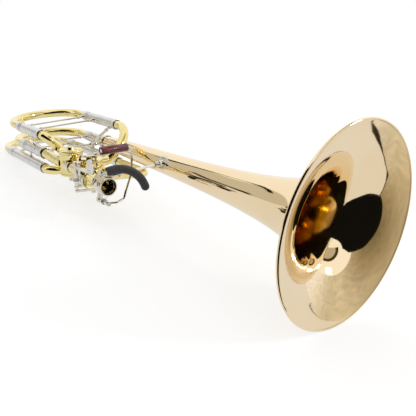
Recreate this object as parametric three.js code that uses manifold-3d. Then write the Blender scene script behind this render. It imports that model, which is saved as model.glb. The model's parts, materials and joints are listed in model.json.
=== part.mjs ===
// Bass trombone bell section: bell, two rotary valves in line, three tuning slides, levers and
// hand rest. Millimetres. The instrument lies on a floor, resting on its rim and its lowest crook.
import * as THREE from 'three';
import { mergeVertices } from 'three/addons/utils/BufferGeometryUtils.js';
import Module from 'manifold-3d';

const wasm = await Module();
wasm.setup();

// Places are measured behind the rim plane, sideways from the bell axis toward the neckpipe,
// and up from the plane that holds the bell axis and the main tuning slide.

// Tubing
const tubeRadius = 7.8;
const tubeWall = 0.6;
const mainTubeStep = 0.4;
const mainTubeRadius = tubeRadius + mainTubeStep;
const sleeveWall = 0.6;
const sleeveBead = 0.6;
const sleeveBeadWidth = 2.4;
const ferruleWall = 1.2;
const ferruleSeat = 5;
const ringGap = 0.7;

// Clearances and the overrun that every cut runs past its work
const seatGap = 0.3;
const slipGap = 0.3;
const pinGap = 0.3;
const overrun = 2;

// Rotary valves, measured from the middle of the casing
const casingBore = 16.9;
const casingWall = 2;
const casingRadius = casingBore + casingWall;
const casingHeight = 32;
const rotorEndPlay = 1;
const rotorHeight = casingHeight - rotorEndPlay;
const grooveInset = 0.1;
const grooveRadius = tubeRadius - tubeWall - grooveInset;
const shaftRadius = 4;
const capOverhang = 0.5;
const capRadius = casingRadius + capOverhang;
const capThickness = 3.2;
const capChamfer = 0.7;
const hubWall = 1.3;
const hubRadius = shaftRadius + pinGap + hubWall;
const hubHeight = 1.8;
const hubRoof = 0.9;
const stopArmThickness = 3;
const stopArmCollar = 0.6;
const stopArmHub = hubRadius + stopArmCollar;
const stopArmRadius = 9.5;
const stopPadRadius = 3;
const stopTailWidth = 5;
const stopPostRadius = 1.9;
const stopPostInset = 5;
const stopPostCircle = capRadius - stopPostInset;
const stopTailPast = 0.6;
const stopTailReach = stopPostCircle + stopTailPast;
const stopPostHeight = 4.6;
const stopPostAngle = 66;

// Neckpipe line: the second valve leads, and the rest keeps its distance to the valves
const valveSide = 111;
const valveDrop = 4;
const portOffset = 13.4;
const secondValveBehind = 391;
const knuckleLand = 2.1;
const knuckleReach = casingRadius + knuckleLand;
const knuckleEaseShare = 8;
const knuckleLeadShare = 1.4;
const valveLinkLength = 23;
const firstValveBehind = secondValveBehind + knuckleReach * 2 + valveLinkLength;
const neckStep = 0.5;
const neckRadius = tubeRadius + neckStep;
const neckRun = 78;
const receiverFront = secondValveBehind - neckRun;
const receiverLength = 24;
const receiverOffset = 12;
const receiverSide = valveSide + receiverOffset;
const receiverDrop = 8;
const receiverRadius = 14.25;
const receiverLipStep = 0.95;
const receiverLip = receiverRadius - receiverLipStep;
const receiverWall = 2.45;
const receiverBore = receiverRadius - receiverWall;
const receiverThroat = 8.7;
const receiverGroove = 1.1;
const receiverShares = [
  ['lip', 1.5], ['outer', 2], ['outer', 3], ['waist', 3.3], ['waist', 3.7], ['outer', 4],
  ['outer', 6], ['waist', 6.5],
];

// Main tuning slide
const mainLegOffset = 16;
const mainLegSide = valveSide + mainLegOffset;
const mainSupplyRun = 89;
const mainSleeveStart = firstValveBehind + mainSupplyRun;
const mainSleeveLength = 71;
const mainSleeveEnd = mainSleeveStart + mainSleeveLength;
const mainLegShown = 34;
const mainCrookStart = mainSleeveEnd + mainLegShown;
const mainBraceLead = 18;
const mainBraceBehind = mainSleeveEnd + mainBraceLead;
const tailFerruleLength = 20;
const tailFerruleWall = 1.4;

// Bell, whose tail ends just past the start of the main slide
const rimRadius = 120.65;
const rimBead = 1.9;
const hornPole = 12.5;
const flareShare = 0.57;
const ringShare = 2.2;
const tailPastSleeve = 3;
const bellLength = mainSleeveStart + tailPastSleeve;
const tailRadius = 11;
const pinchLength = 148;
const pinchStart = bellLength - pinchLength;
const bellWall = 0.6;
const tailGap = 0.5;
const tailSleeveStart = bellLength + tailGap;

// Upper loop, worked by the thumb
const fLeftOffset = 25;
const fLeftSide = valveSide + fLeftOffset;
const fLeftUp = 35;
const fRightSide = 8;
const fRightUp = 42;
const fRiseLead = 15;
const fRiseStart = firstValveBehind + knuckleReach + fRiseLead;
const fRiseRun = 30;
const fLeftSleeveStart = fRiseStart + fRiseRun;
const fSleeveLength = 90;
const fSleeveEnd = fLeftSleeveStart + fSleeveLength;
const fLegShown = 12;
const fCrookStart = fSleeveEnd + fLegShown;
const fSlideBraceLead = 7;
const fSlideBraceBehind = fSleeveEnd + fSlideBraceLead;
const fSleeveBraceLead = 50;
const fSleeveBraceBehind = fLeftSleeveStart + fSleeveBraceLead;
const fFrontLead = 5;
const fFrontTurn = firstValveBehind - knuckleReach - fFrontLead;
const fFrontRun = 23;
const fFrontTop = fFrontTurn + fFrontRun;
const fTopRun = 43;
const fRightSleeveStart = fFrontTop + fTopRun;

// Lower loop, worked by the finger
const lowLeftOffset = 20;
const lowLeftSide = valveSide + lowLeftOffset;
const lowRightSide = 10;
const lowDrop = 25;
const lowSupplyOffset = 28.5;
const lowSupplySide = valveSide - lowSupplyOffset;
const fFrontDropOffset = 26.5;
const fFrontDropSide = lowSupplySide - fFrontDropOffset;
const fFrontDropUp = 7;
const lowSleeveLead = 3;
const lowLeftSleeveStart = mainSleeveStart + lowSleeveLead;
const lowSleeveLength = 135;
const lowSleeveEnd = lowLeftSleeveStart + lowSleeveLength;
const lowLegShown = 9;
const lowCrookStart = lowSleeveEnd + lowLegShown;
const lowBraceLead = 4.5;
const lowBraceBehind = lowSleeveEnd + lowBraceLead;
const lowCrossRun = 19;
const lowCrossBehind = firstValveBehind + knuckleReach + lowCrossRun;
const crossBendShare = 2.4;
const lowFrontLead = 18;
const lowFrontTurn = secondValveBehind - knuckleReach - lowFrontLead;
const lowFrontRun = 40;
const lowFrontReach = lowFrontTurn + lowFrontRun;
const lowTopRun = 88;
const lowRightSleeveStart = lowFrontReach + lowTopRun;

// Braces
const braceRadius = 1.6;
const heavyBraceRadius = 2.3;
const braceFootRadius = 3.6;
const braceFootHeight = 4;
const footFlareShare = 1.3;
const footKneeShare = 0.6;
const bellBraceLead = 3.5;
const bellBraceBehind = receiverFront + receiverLength - bellBraceLead;
const bellBraceUp = 6;
const bellBraceNeckUp = 1;
const kiteLength = 44;
const kiteWidth = 26;
const kiteThickness = 1.2;
const kiteSocketRadius = 4.6;
const kiteSocketHeight = 14;
const crossBraceLead = 8;
const crossBraceBehind = bellLength - crossBraceLead;
const strutTopLead = 10;
const strutTopBehind = fRightSleeveStart + strutTopLead;
const strutFootSide = 35;
const spacerLead = 40;
const spacerBehind = mainSleeveStart + spacerLead;
const fSpacerLead = 17;
const fSpacerBehind = mainSleeveStart + fSpacerLead;

// Thumb lever
const thumbHingeAhead = 12;
const thumbHingeBehind = secondValveBehind - thumbHingeAhead;
const bracketWebGap = 2.2;
const bracketWebSide = valveSide + casingRadius + bracketWebGap;
const thumbHingeReach = 8.3;
const thumbHingeSide = bracketWebSide + thumbHingeReach;
const thumbTravel = 33;
const leverTubeRadius = 3.2;
const leverPinRadius = 1.5;
const thumbTubeLow = 19;
const thumbTubeHigh = 12.8;
const earThickness = 2.7;
const earWidth = 7.4;
const bracketPlate = 2.8;
const bracketWebRun = 7;
const bracketWebBack = thumbHingeBehind + bracketWebRun;
const bracketFootHigh = 6;
const bracketFootLow = 14;
const bracketFootRun = 3;
const bracketFootFront = bracketWebBack - bracketFootRun;
const leverBarWidth = 5;
const leverBarThickness = 2.4;
const paddleReach = 40;
const paddleBehind = thumbHingeBehind - paddleReach;
const paddleInset = 4.4;
const paddleSide = thumbHingeSide - paddleInset;
const paddleUp = 17.3;
const paddleHalfLength = 10.5;
const paddleHalfHeight = 11.2;
const paddleThickness = 1.8;
const paddleArmUp = 9.6;
const linkPinRadius = 1.2;
const linkEyeRadius = 3.2;
const linkEyeHeight = 3;
const linkRodRadius = 1.4;
const linkGap = 0.4;
const tiltGap = 1;

// Finger lever
const fingerHingeInset = 1;
const fingerHingeSide = valveSide - fingerHingeInset;
const fingerHingeDrop = 44;
const fingerPostLead = 6.1;
const fingerTubeBack = secondValveBehind - casingRadius - fingerPostLead;
const fingerTubeLength = 23.7;
const fingerTubeFront = fingerTubeBack - fingerTubeLength;
const fingerPostLow = 4.6;
const fingerPostHigh = 8;
const fingerPostInner = 3.6;
const fingerPostOuter = 2.4;
const fingerPostThickness = 4.7;
const fingerPostKneeShare = 1.6;
const wireRadius = 1.75;
const wireBendShares = [3, 3.6, 7.2, 18, 1.8];
const wireLead = 2.3;
const wireBehind = fingerTubeFront - wireLead;
const wireReach = 26;
const wireLowSide = fingerHingeSide - wireReach;
const wireLowRise = 4;
const wireLowDrop = fingerHingeDrop - wireLowRise;
const wireKneeReach = 29.5;
const wireKneeSide = fingerHingeSide - wireKneeReach;
const wireKneeRise = 15;
const wireKneeDrop = fingerHingeDrop - wireKneeRise;
const wireTopReach = 41.5;
const wireTopSide = fingerHingeSide - wireTopReach;
const rollerUp = 38;
const rollerRadius = 5.3;
const rollerLength = 43;
const rollerLead = 6.8;
const rollerInnerSide = wireTopSide + rollerLead;
const rollerRecess = 3.4;
const rollerNutRadius = 2.7;
const rollerNutLength = 2.5;
const linkArmLead = 5.5;
const linkArmSide = wireTopSide + linkArmLead;
const linkArmRadius = 1.8;

// Hand rest
const restLead = 3;
const restBehind = receiverFront + restLead;
const restArcInset = 13;
const restArcSide = receiverSide - restArcInset;
const restArcFall = 29.1;
const restArcDrop = receiverDrop + restArcFall;
const restArcRadius = 52;
const restTailAngle = 49;
const restClampAngle = 58;
const restStartAngle = 76;
const restEndAngle = 160;
const restRadius = 6.4;
const restRodRadius = 2.1;
const clampLength = 7;
const clampWidth = 8;
const clampCrown = 3.8;
const clampFoot = 8;

// Return springs on the two lever tubes
const springWire = 0.5;
const springPitch = 1.7;
const springCurls = 3;
const springLeg = 7;
const thumbSpringUp = -12;
const fingerSpringLead = 9.7;
const fingerSpringBehind = fingerTubeFront + fingerSpringLead;

// How the instrument lies: the neckpipe side leans down to the floor
const restRoll = 8;

// Facets
const tubeSides = 12;
const boreSides = 6;
const bellSides = 40;
const bellRings = 12;
const throatRings = 12;
const rotorSides = 24;
const smallSides = 8;
const turnSteps = 4;
const crookSteps = 12;
const coilSides = 5;
const coilSteps = 8;

const degrees = Math.PI / 180;
const quarter = Math.PI / 2;

/** A point behind the rim plane, toward the neckpipe and up. */
function at(behind, side, up) {
  return new THREE.Vector3(-behind, -side, up);
}

// Closed bodies and their joins and cuts

/** The geometry with shared corners merged, facing out. */
function closed(geometry) {
  const bare = geometry.clone();
  bare.deleteAttribute('normal');
  bare.deleteAttribute('uv');
  const merged = mergeVertices(bare);
  if (signedVolume(merged) < 0) {
    const index = merged.index.array;
    for (let i = 0; i < index.length; i += 3) {
      [index[i], index[i + 1]] = [index[i + 1], index[i]];
    }
  }
  return merged;
}

function signedVolume(geometry) {
  const place = geometry.attributes.position;
  const index = geometry.index.array;
  const corner = [new THREE.Vector3(), new THREE.Vector3(), new THREE.Vector3()];
  let total = 0;
  for (let i = 0; i < index.length; i += 3) {
    corner.forEach((point, k) => point.fromBufferAttribute(place, index[i + k]));
    total += corner[0].dot(corner[1].cross(corner[2]));
  }
  return total;
}

function solidOf(geometry) {
  const merged = closed(geometry);
  return new wasm.Manifold(new wasm.Mesh({
    numProp: 3,
    vertProperties: new Float32Array(merged.attributes.position.array),
    triVerts: new Uint32Array(merged.index.array),
  }));
}

function geometryOf(solid) {
  const mesh = solid.getMesh();
  const geometry = new THREE.BufferGeometry();
  geometry.setAttribute('position', new THREE.BufferAttribute(mesh.vertProperties, 3));
  geometry.setIndex(new THREE.BufferAttribute(mesh.triVerts, 1));
  geometry.computeVertexNormals();
  return geometry;
}

function join(...geometries) {
  return geometryOf(geometries.map(solidOf).reduce((whole, next) => whole.add(next)));
}

function cut(base, ...tools) {
  return geometryOf(tools.map(solidOf).reduce((whole, next) => whole.subtract(next), solidOf(base)));
}

function shared(first, second) {
  return geometryOf(solidOf(first).intersect(solidOf(second)));
}

// Basic forms

function ringPoints(radius, sides) {
  return Array.from({ length: sides }, (_, k) => {
    const turn = (2 * Math.PI * k) / sides;
    return new THREE.Vector2(radius * Math.cos(turn), radius * Math.sin(turn));
  });
}

/** A path through corners that are rounded to the given bend radii. */
class Route extends THREE.Curve {
  constructor(corners, bends = [], steps = turnSteps) {
    super();
    this.stations = [];
    const last = corners.length - 1;
    corners.forEach((corner, k) => {
      const inward = k > 0 && corner.clone().sub(corners[k - 1]).normalize();
      const outward = k < last && corners[k + 1].clone().sub(corner).normalize();
      if (k === 0 || k === last) {
        this.stations.push({ point: corner.clone(), tangent: inward || outward });
        return;
      }
      this.turn(corner, inward, outward, bends[k - 1], steps);
    });
  }

  turn(corner, inward, outward, radius, steps) {
    const angle = inward.angleTo(outward);
    const setback = radius * Math.tan(angle / 2);
    const start = corner.clone().addScaledVector(inward, -setback);
    const across = outward.clone().addScaledVector(inward, -inward.dot(outward)).normalize();
    for (let k = 0; k <= steps; k += 1) {
      const turned = (angle * k) / steps;
      this.stations.push({
        point: start.clone()
          .addScaledVector(inward, radius * Math.sin(turned))
          .addScaledVector(across, radius * (1 - Math.cos(turned))),
        tangent: inward.clone().multiplyScalar(Math.cos(turned))
          .addScaledVector(across, Math.sin(turned)),
      });
    }
  }

  /** The same path, run on straight past both ends. */
  extended(length) {
    const longer = new Route([this.stations[0].point, this.stations.at(-1).point]);
    const past = ({ point, tangent }, reach) => (
      { point: point.clone().addScaledVector(tangent, reach), tangent });
    longer.stations = [past(this.stations[0], -length), ...this.stations,
      past(this.stations.at(-1), length)];
    return longer;
  }

  station(share) {
    return this.stations[Math.round(share * (this.stations.length - 1))];
  }

  getPointAt(share) {
    return this.station(share).point.clone();
  }

  getTangentAt(share) {
    return this.station(share).tangent.clone();
  }
}

/** A round bar along a route, or a tube when it has a bore. */
function bar(route, radius, bore = 0, sides = tubeSides) {
  const section = new THREE.Shape(ringPoints(radius, sides));
  if (bore > 0) {
    section.holes.push(new THREE.Path(ringPoints(bore, boreSides)));
  }
  const geometry = new THREE.ExtrudeGeometry(section, {
    steps: route.stations.length - 1, extrudePath: route, bevelEnabled: false,
  });
  return geometryOf(solidOf(geometry));
}

function rod(from, to, radius, sides = smallSides) {
  return bar(new Route([from, to]), radius, 0, sides);
}

/** The least gap of a wire to itself, between points on it that are half a curl or more apart. */
function wireGap(route, radius) {
  const points = route.stations.slice(1).flatMap(({ point }, k) => (
    Array.from({ length: coilSteps }, (_, step) => (
      route.stations[k].point.clone().lerp(point, step / coilSteps)))));
  const apart = coilSteps ** 2 / 2;
  return points.reduce((least, point, k) => points.slice(k + apart).reduce((gap, other) => (
    Math.min(gap, point.distanceTo(other) - radius * 2)), least), Infinity);
}

/** A return spring about +Z from height zero: one wire with a straight leg at each end. */
function coil(name, radius, startAngle) {
  const count = springCurls * coilSteps;
  const point = (k) => {
    const angle = startAngle * degrees + (2 * Math.PI * k) / coilSteps;
    return new THREE.Vector3(radius * Math.cos(angle), radius * Math.sin(angle),
      (springPitch * k) / coilSteps);
  };
  const tangent = (k) => point(k + 1).sub(point(k - 1)).normalize();
  const route = new Route([point(0), point(count)]);
  route.stations = Array.from({ length: count + 1 }, (_, k) => (
    { point: point(k), tangent: tangent(k) }));
  const wire = route.extended(springLeg);
  console.log(`least gap of ${name} to itself: ${wireGap(wire, springWire).toFixed(2)} mm`);
  return bar(wire, springWire, 0, coilSides);
}

/** A piece turned about +Y from [radius, height] pairs that close on themselves or on the axis. */
function turned(profile, sides = tubeSides) {
  const points = profile.map(([radius, height]) => new THREE.Vector2(radius, height));
  if (profile[0][0] > 0) {
    points.push(points[0].clone());
  }
  return geometryOf(solidOf(new THREE.LatheGeometry(points, sides)));
}

/** Turns a piece made about +Y so that it runs back from the rim plane. */
function backward(geometry) {
  return geometry.rotateZ(quarter);
}

/** Turns a piece made about +Y so that it stands up. */
function upright(geometry) {
  return geometry.rotateX(quarter);
}

/** A tube end piece between two heights with its bore. */
function collar(radius, bore, low, high, sides = tubeSides) {
  return turned([[bore, low], [radius, low], [radius, high], [bore, high]], sides);
}

function disc(radius, low, high, sides = tubeSides) {
  return turned([[0, low], [radius, low], [radius, high], [0, high]], sides);
}

function block(low, high) {
  const size = high.clone().sub(low);
  const middle = low.clone().add(high).multiplyScalar(0.5);
  return new THREE.BoxGeometry(Math.abs(size.x), Math.abs(size.y), Math.abs(size.z))
    .translate(middle.x, middle.y, middle.z);
}

// Materials
const finish = (color, roughness, metalness) => (
  new THREE.MeshStandardMaterial({ color, roughness, metalness })
);
const roseBrass = finish(0xd9a066, 0.16, 1);
const yellowBrass = finish(0xd8b45a, 0.18, 1);
const nickel = finish(0xc9c7c2, 0.24, 1);
const steel = finish(0x8f8f92, 0.3, 1);
const rosewood = finish(0x5e1a16, 0.35, 0);
const foam = finish(0x2e2f33, 0.9, 0);

const trombone = new THREE.Group();
const lean = new THREE.Group();
const instrument = new THREE.Group();
trombone.add(lean);
lean.add(instrument);

function place(group, name, geometry, material, position) {
  const mesh = new THREE.Mesh(geometry, material);
  mesh.name = name;
  if (position) {
    mesh.position.copy(position);
  }
  group.add(mesh);
  return mesh;
}

// Bell: a horn whose radius falls as a power of the distance behind the rim

function hornRadius(behind) {
  const free = rimRadius * ((behind + hornPole) / hornPole) ** -flareShare;
  const end = rimRadius * ((bellLength + hornPole) / hornPole) ** -flareShare;
  const pinch = Math.max(behind - pinchStart, 0) / (bellLength - pinchStart);
  return free - (end - tailRadius) * pinch ** 2;
}

/** The horn's outer line, or a line offset from it along its normal. */
function hornLine(rings, start, end, offset) {
  return Array.from({ length: rings + 1 }, (_, k) => {
    const behind = start + (end - start) * (k / rings) ** ringShare;
    const step = hornPole / rings;
    const slope = (hornRadius(behind + step) - hornRadius(Math.max(behind - step, 0)))
      / (behind + step - Math.max(behind - step, 0));
    const length = Math.hypot(1, slope);
    return [hornRadius(behind) + offset / length, behind - (offset * slope) / length];
  });
}

function makeBell() {
  const outer = hornLine(bellRings, rimBead, bellLength, 0).reverse();
  const inner = hornLine(throatRings, rimBead / 2, bellLength, -bellWall);
  const beadCentre = [rimRadius - rimBead, rimBead / 2];
  const bead = [-1, 0, 1, 2, 3].map((k) => {
    const angle = (k * quarter) / 2;
    return [beadCentre[0] + rimBead * Math.sin(angle + quarter / 2),
      beadCentre[1] + rimBead * Math.cos(angle + quarter / 2)];
  });
  place(instrument, 'bell', backward(turned([...outer, ...bead, ...inner], bellSides)), roseBrass);
}

/** A kite-shaped plate that follows the stem, with the turned socket of the brace on it. */
function makeBellBrace() {
  const stemRadius = hornRadius(bellBraceBehind);
  const skin = (offset) => hornLine(throatRings, bellBraceBehind - kiteLength, bellBraceBehind
    + kiteLength, offset);
  const shell = backward(turned([...skin(seatGap), ...skin(seatGap + kiteThickness).reverse()],
    rotorSides));
  const kite = new THREE.Shape([
    new THREE.Vector2(-kiteLength / 2, 0), new THREE.Vector2(0, -kiteWidth / 2),
    new THREE.Vector2(kiteLength / 2, 0), new THREE.Vector2(0, kiteWidth / 2),
  ]);
  const lift = Math.asin(bellBraceUp / stemRadius);
  const reach = stemRadius + kiteSocketHeight;
  const prism = new THREE.ExtrudeGeometry(kite, { depth: reach, bevelEnabled: false })
    .rotateX(quarter - lift).translate(-bellBraceBehind, 0, 0);
  const foot = at(bellBraceBehind, Math.sqrt(stemRadius ** 2 - bellBraceUp ** 2), bellBraceUp);
  const neckFoot = at(bellBraceBehind, receiverSide, bellBraceNeckUp);
  const line = neckFoot.clone().sub(foot).normalize();
  const socketTop = foot.clone().addScaledVector(line, kiteSocketHeight);
  const socket = join(
    rod(foot, socketTop, kiteSocketRadius, tubeSides),
    rod(foot.clone().addScaledVector(line, kiteSocketHeight / 3),
      foot.clone().addScaledVector(line, kiteSocketHeight / 2), kiteSocketRadius + kiteThickness),
  );
  const stem = backward(turned(hornLine(throatRings, bellBraceBehind - kiteLength,
    bellBraceBehind + kiteLength, seatGap).concat([
    [0, bellBraceBehind + kiteLength], [0, bellBraceBehind - kiteLength]]), rotorSides));
  const bore = rod(socketTop.clone().addScaledVector(line, -kiteSocketHeight / 2),
    socketTop.clone().addScaledVector(line, overrun), heavyBraceRadius + seatGap);
  place(instrument, 'bell_brace_flange',
    cut(join(shared(shell, prism), cut(socket, stem)), bore), nickel);
  const neckAxis = at(bellBraceBehind, receiverSide, -receiverDrop);
  const collarRadius = receiverRadius + seatGap;
  const drop = receiverDrop + bellBraceNeckUp;
  const neckFace = at(bellBraceBehind, receiverSide - Math.sqrt(collarRadius ** 2 - drop ** 2),
    bellBraceNeckUp);
  const neckTop = neckFace.clone().addScaledVector(line, -kiteSocketHeight / 2);
  const neckBody = backward(disc(collarRadius, -kiteSocketRadius * 2, kiteSocketRadius * 2,
    rotorSides)).translate(neckAxis.x, neckAxis.y, neckAxis.z);
  place(instrument, 'bell_brace_rod', cut(join(
    rod(neckFace.clone().addScaledVector(line, overrun), neckTop, kiteSocketRadius, tubeSides),
    rod(socketTop.clone().addScaledVector(line, -kiteSocketHeight / 2 + seatGap), neckTop,
      heavyBraceRadius),
  ), neckBody), nickel);
}

// Neckpipe line: the receiver, the pipe behind it and the tubes that join the valves

function makeReceiver() {
  const end = receiverLength;
  const ring = receiverGroove * 2;
  const waist = receiverRadius - receiverGroove;
  const heel = neckRadius + seatGap + receiverGroove * 2;
  const radii = { lip: receiverLip, outer: receiverRadius, waist };
  place(instrument, 'receiver', backward(turned([
    [receiverBore, 0], [receiverLip, 0],
    ...receiverShares.map(([line, share]) => [radii[line], ring * share]),
    [waist, end - ring * 2], [heel, end - ring], [heel, end],
    [neckRadius + seatGap, end], [neckRadius + seatGap, end - ring * 3],
    [receiverThroat, end - ring * 3],
  ], rotorSides)), nickel, at(receiverFront, receiverSide, -receiverDrop));
}

const mainPortSide = valveSide + portOffset;
const loopPortSide = valveSide - portOffset;
const tubeBore = tubeRadius - tubeWall;

function makeNeckpipe() {
  const start = receiverFront + receiverLength - receiverGroove * 5;
  const end = secondValveBehind - knuckleReach - seatGap;
  const bend = tubeRadius * 3;
  const quarterRun = (end - start) / 4;
  place(instrument, 'neckpipe', bar(new Route([
    at(start, receiverSide, -receiverDrop),
    at(start + quarterRun * 2, receiverSide, -receiverDrop),
    at(start + quarterRun * 3, mainPortSide, -valveDrop),
    at(end, mainPortSide, -valveDrop),
  ], [bend, bend], 2), neckRadius, neckRadius - tubeWall), yellowBrass);
}

function makeValveLink() {
  const start = secondValveBehind + knuckleReach + seatGap;
  const end = firstValveBehind - knuckleReach - seatGap;
  place(instrument, 'valve_link_tube', bar(new Route([
    at(start, mainPortSide, -valveDrop), at(end, mainPortSide, -valveDrop),
  ]), tubeRadius, tubeBore), yellowBrass);
  const ring = tubeRadius + seatGap;
  place(instrument, 'valve_link_ferrule', backward(
    collar(ring + ferruleWall, ring, 0, ferruleSeat * 2),
  ), nickel, at(end - ferruleSeat * 2 + seatGap * 4, mainPortSide, -valveDrop));
}

// Rotary valves: casing with four port tubes, grooved rotor, caps, stop arm

/** The four port tubes of a valve. The main line passes outside, the loop leaves inside. */
function casingWith(centre, innerRoutes) {
  const start = portOffset / 2;
  const straight = [1, -1].map((way) => new Route([
    at(centre.behind + way * start, mainPortSide, -valveDrop),
    at(centre.behind + way * knuckleReach, mainPortSide, -valveDrop),
  ]));
  const routes = [...straight, ...innerRoutes];
  const middle = at(centre.behind, valveSide, -valveDrop);
  const drum = (radius, over) => upright(disc(radius, -casingHeight / 2 - over,
    casingHeight / 2 + over, rotorSides)).translate(middle.x, middle.y, middle.z);
  const outside = join(drum(casingRadius, 0), ...routes.map((route) => bar(route, tubeRadius)));
  return cut(outside, drum(casingBore, overrun),
    ...routes.map((route) => bar(route.extended(overrun), tubeBore, 0, boreSides)));
}

function makeRotor(shaftUp, shaftDown) {
  const radius = casingBore - slipGap;
  const groove = (way) => backward(
    disc(grooveRadius, -radius - overrun, radius + overrun, tubeSides),
  ).translate(0, way * portOffset, 0);
  const body = join(
    upright(disc(radius, -rotorHeight / 2, rotorHeight / 2, rotorSides)),
    upright(disc(shaftRadius, -shaftDown, shaftUp)),
  );
  return cut(body, groove(1), groove(-1));
}

const capFace = casingHeight / 2 + seatGap;
const capTop = capFace + capThickness;
const hubTop = capTop + hubHeight;
const armFace = hubTop + linkGap;
const armTop = armFace + stopArmThickness;

function capProfile(open) {
  const skin = [
    [hubRadius, hubTop], [hubRadius, capTop], [capRadius - capChamfer, capTop],
    [capRadius, capTop - capChamfer], [capRadius, capFace],
  ];
  const hole = shaftRadius + pinGap;
  return open
    ? [[hole, hubTop], ...skin, [hole, capFace]]
    : [[0, hubTop], ...skin, [hole, capFace], [hole, hubTop - hubRoof], [0, hubTop - hubRoof]];
}

/** The cap that the shaft passes through carries two posts that stop the arm's tail. */
function linkageCap(tailAngle) {
  const cap = upright(turned(capProfile(true), rotorSides));
  const posts = [-1, 1].map((way) => {
    const angle = (tailAngle + way * stopPostAngle) * degrees;
    return upright(disc(stopPostRadius, capFace + capThickness / 2, capTop + stopPostHeight,
      smallSides)).translate(stopPostCircle * Math.cos(angle), stopPostCircle * Math.sin(angle), 0);
  });
  return join(cap, ...posts);
}

/** An arm on the rotor shaft. Its pad carries the link, its tail swings between the posts. */
function stopArm(padAngle) {
  const plate = (geometry) => geometry.rotateZ(padAngle * degrees);
  const tail = block(
    new THREE.Vector3(-stopTailReach, -stopTailWidth / 2, armFace),
    new THREE.Vector3(stopArmRadius, stopTailWidth / 2, armTop),
  );
  const pad = upright(disc(stopPadRadius, armFace, armTop)).translate(stopArmRadius, 0, 0);
  const hub = upright(disc(stopArmHub, armFace, armTop));
  const hole = upright(disc(shaftRadius + pinGap, armFace - overrun, armTop + overrun));
  return plate(cut(join(hub, pad, tail), hole));
}

/** Caps, rotor and stop arm of one valve, the linkage side up or turned down. */
function makeValve(name, behind, linkageUp, padAngle, tailMiddle) {
  const group = new THREE.Group();
  group.position.copy(at(behind, valveSide, -valveDrop));
  instrument.add(group);
  const long = armTop - pinGap;
  const short = hubTop - hubRoof - pinGap;
  place(group, `${name}_rotor`, linkageUp ? makeRotor(long, short) : makeRotor(short, long),
    yellowBrass);
  const plain = upright(turned(capProfile(false), rotorSides));
  const flip = (geometry) => geometry.rotateX(Math.PI);
  const worked = linkageUp
    ? [linkageCap(tailMiddle), flip(plain), stopArm(padAngle)]
    : [plain, flip(linkageCap(-tailMiddle)), flip(stopArm(-padAngle))];
  place(group, `${name}_upper_cap`, worked[0], yellowBrass);
  place(group, `${name}_lower_cap`, worked[1], yellowBrass);
  place(group, `${name}_stop_arm`, worked[2], nickel);
}

function makeCasings() {
  const elbow = tubeRadius + seatGap * knuckleEaseShare;
  const half = portOffset / 2;
  const first = [
    new Route([
      at(firstValveBehind - half, loopPortSide, -valveDrop),
      at(fFrontTurn, loopPortSide, -valveDrop),
      at(fFrontTurn, lowSupplySide, -valveDrop),
    ], [elbow]),
    new Route([
      at(firstValveBehind + half, loopPortSide, -valveDrop),
      at(firstValveBehind + knuckleReach, loopPortSide, -valveDrop),
    ]),
  ];
  place(instrument, 'f_valve_casing', casingWith({ behind: firstValveBehind }, first), yellowBrass);
  const back = secondValveBehind + knuckleReach;
  const second = [
    new Route([
      at(secondValveBehind - half, loopPortSide, -valveDrop),
      at(lowFrontTurn, loopPortSide, -valveDrop),
      secondPortEnd(),
    ], [elbow]),
    new Route([
      at(secondValveBehind + half, loopPortSide, -valveDrop),
      at(back - seatGap * knuckleEaseShare, loopPortSide, -valveDrop),
      at(back - seatGap * knuckleEaseShare, lowSupplySide, -lowDrop),
      at(back + tubeRadius * knuckleLeadShare, lowSupplySide, -lowDrop),
    ], [elbow, elbow]),
  ];
  place(instrument, 'second_valve_casing', casingWith({ behind: secondValveBehind }, second),
    yellowBrass);
}

/** Where the second valve's front port tube ends, on its way down to the lower loop. */
function secondPortEnd() {
  const from = at(lowFrontTurn, loopPortSide, -valveDrop);
  const to = at(lowFrontReach, lowRightSide, -lowDrop);
  return from.clone().addScaledVector(to.clone().sub(from).normalize(), tubeRadius * 2);
}

// Tuning slides: outer sleeves on the instrument, inner legs and a crook that pull out backward

/** A sleeve from its tube joint back to its open end, with a bead at each end. */
function sleeve(bore, length, extraBeads = []) {
  const radius = bore + sleeveWall;
  const bead = radius + sleeveBead;
  const steps = [0, ...extraBeads, length - sleeveBeadWidth].flatMap((start) => {
    const rise = start === 0 ? [[bead, 0]] : [[radius, start], [bead, start]];
    const end = start + sleeveBeadWidth;
    return end < length ? [...rise, [bead, end], [radius, end]] : [...rise, [bead, length]];
  });
  return backward(turned([[bore, 0], ...steps, [bore, length]]));
}

/** An inner leg and the ferrule that takes the crook's end. */
function leg(radius, length, ferruleStart, crookRadius) {
  const seat = crookRadius + seatGap;
  const outer = seat + ferruleWall;
  const bore = radius - tubeWall;
  return backward(turned([
    [bore, 0], [radius, 0], [radius, ferruleStart], [outer, ferruleStart], [outer, length],
    [seat, length], [seat, length - ferruleSeat], [bore, length - ferruleSeat],
  ]));
}

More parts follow.
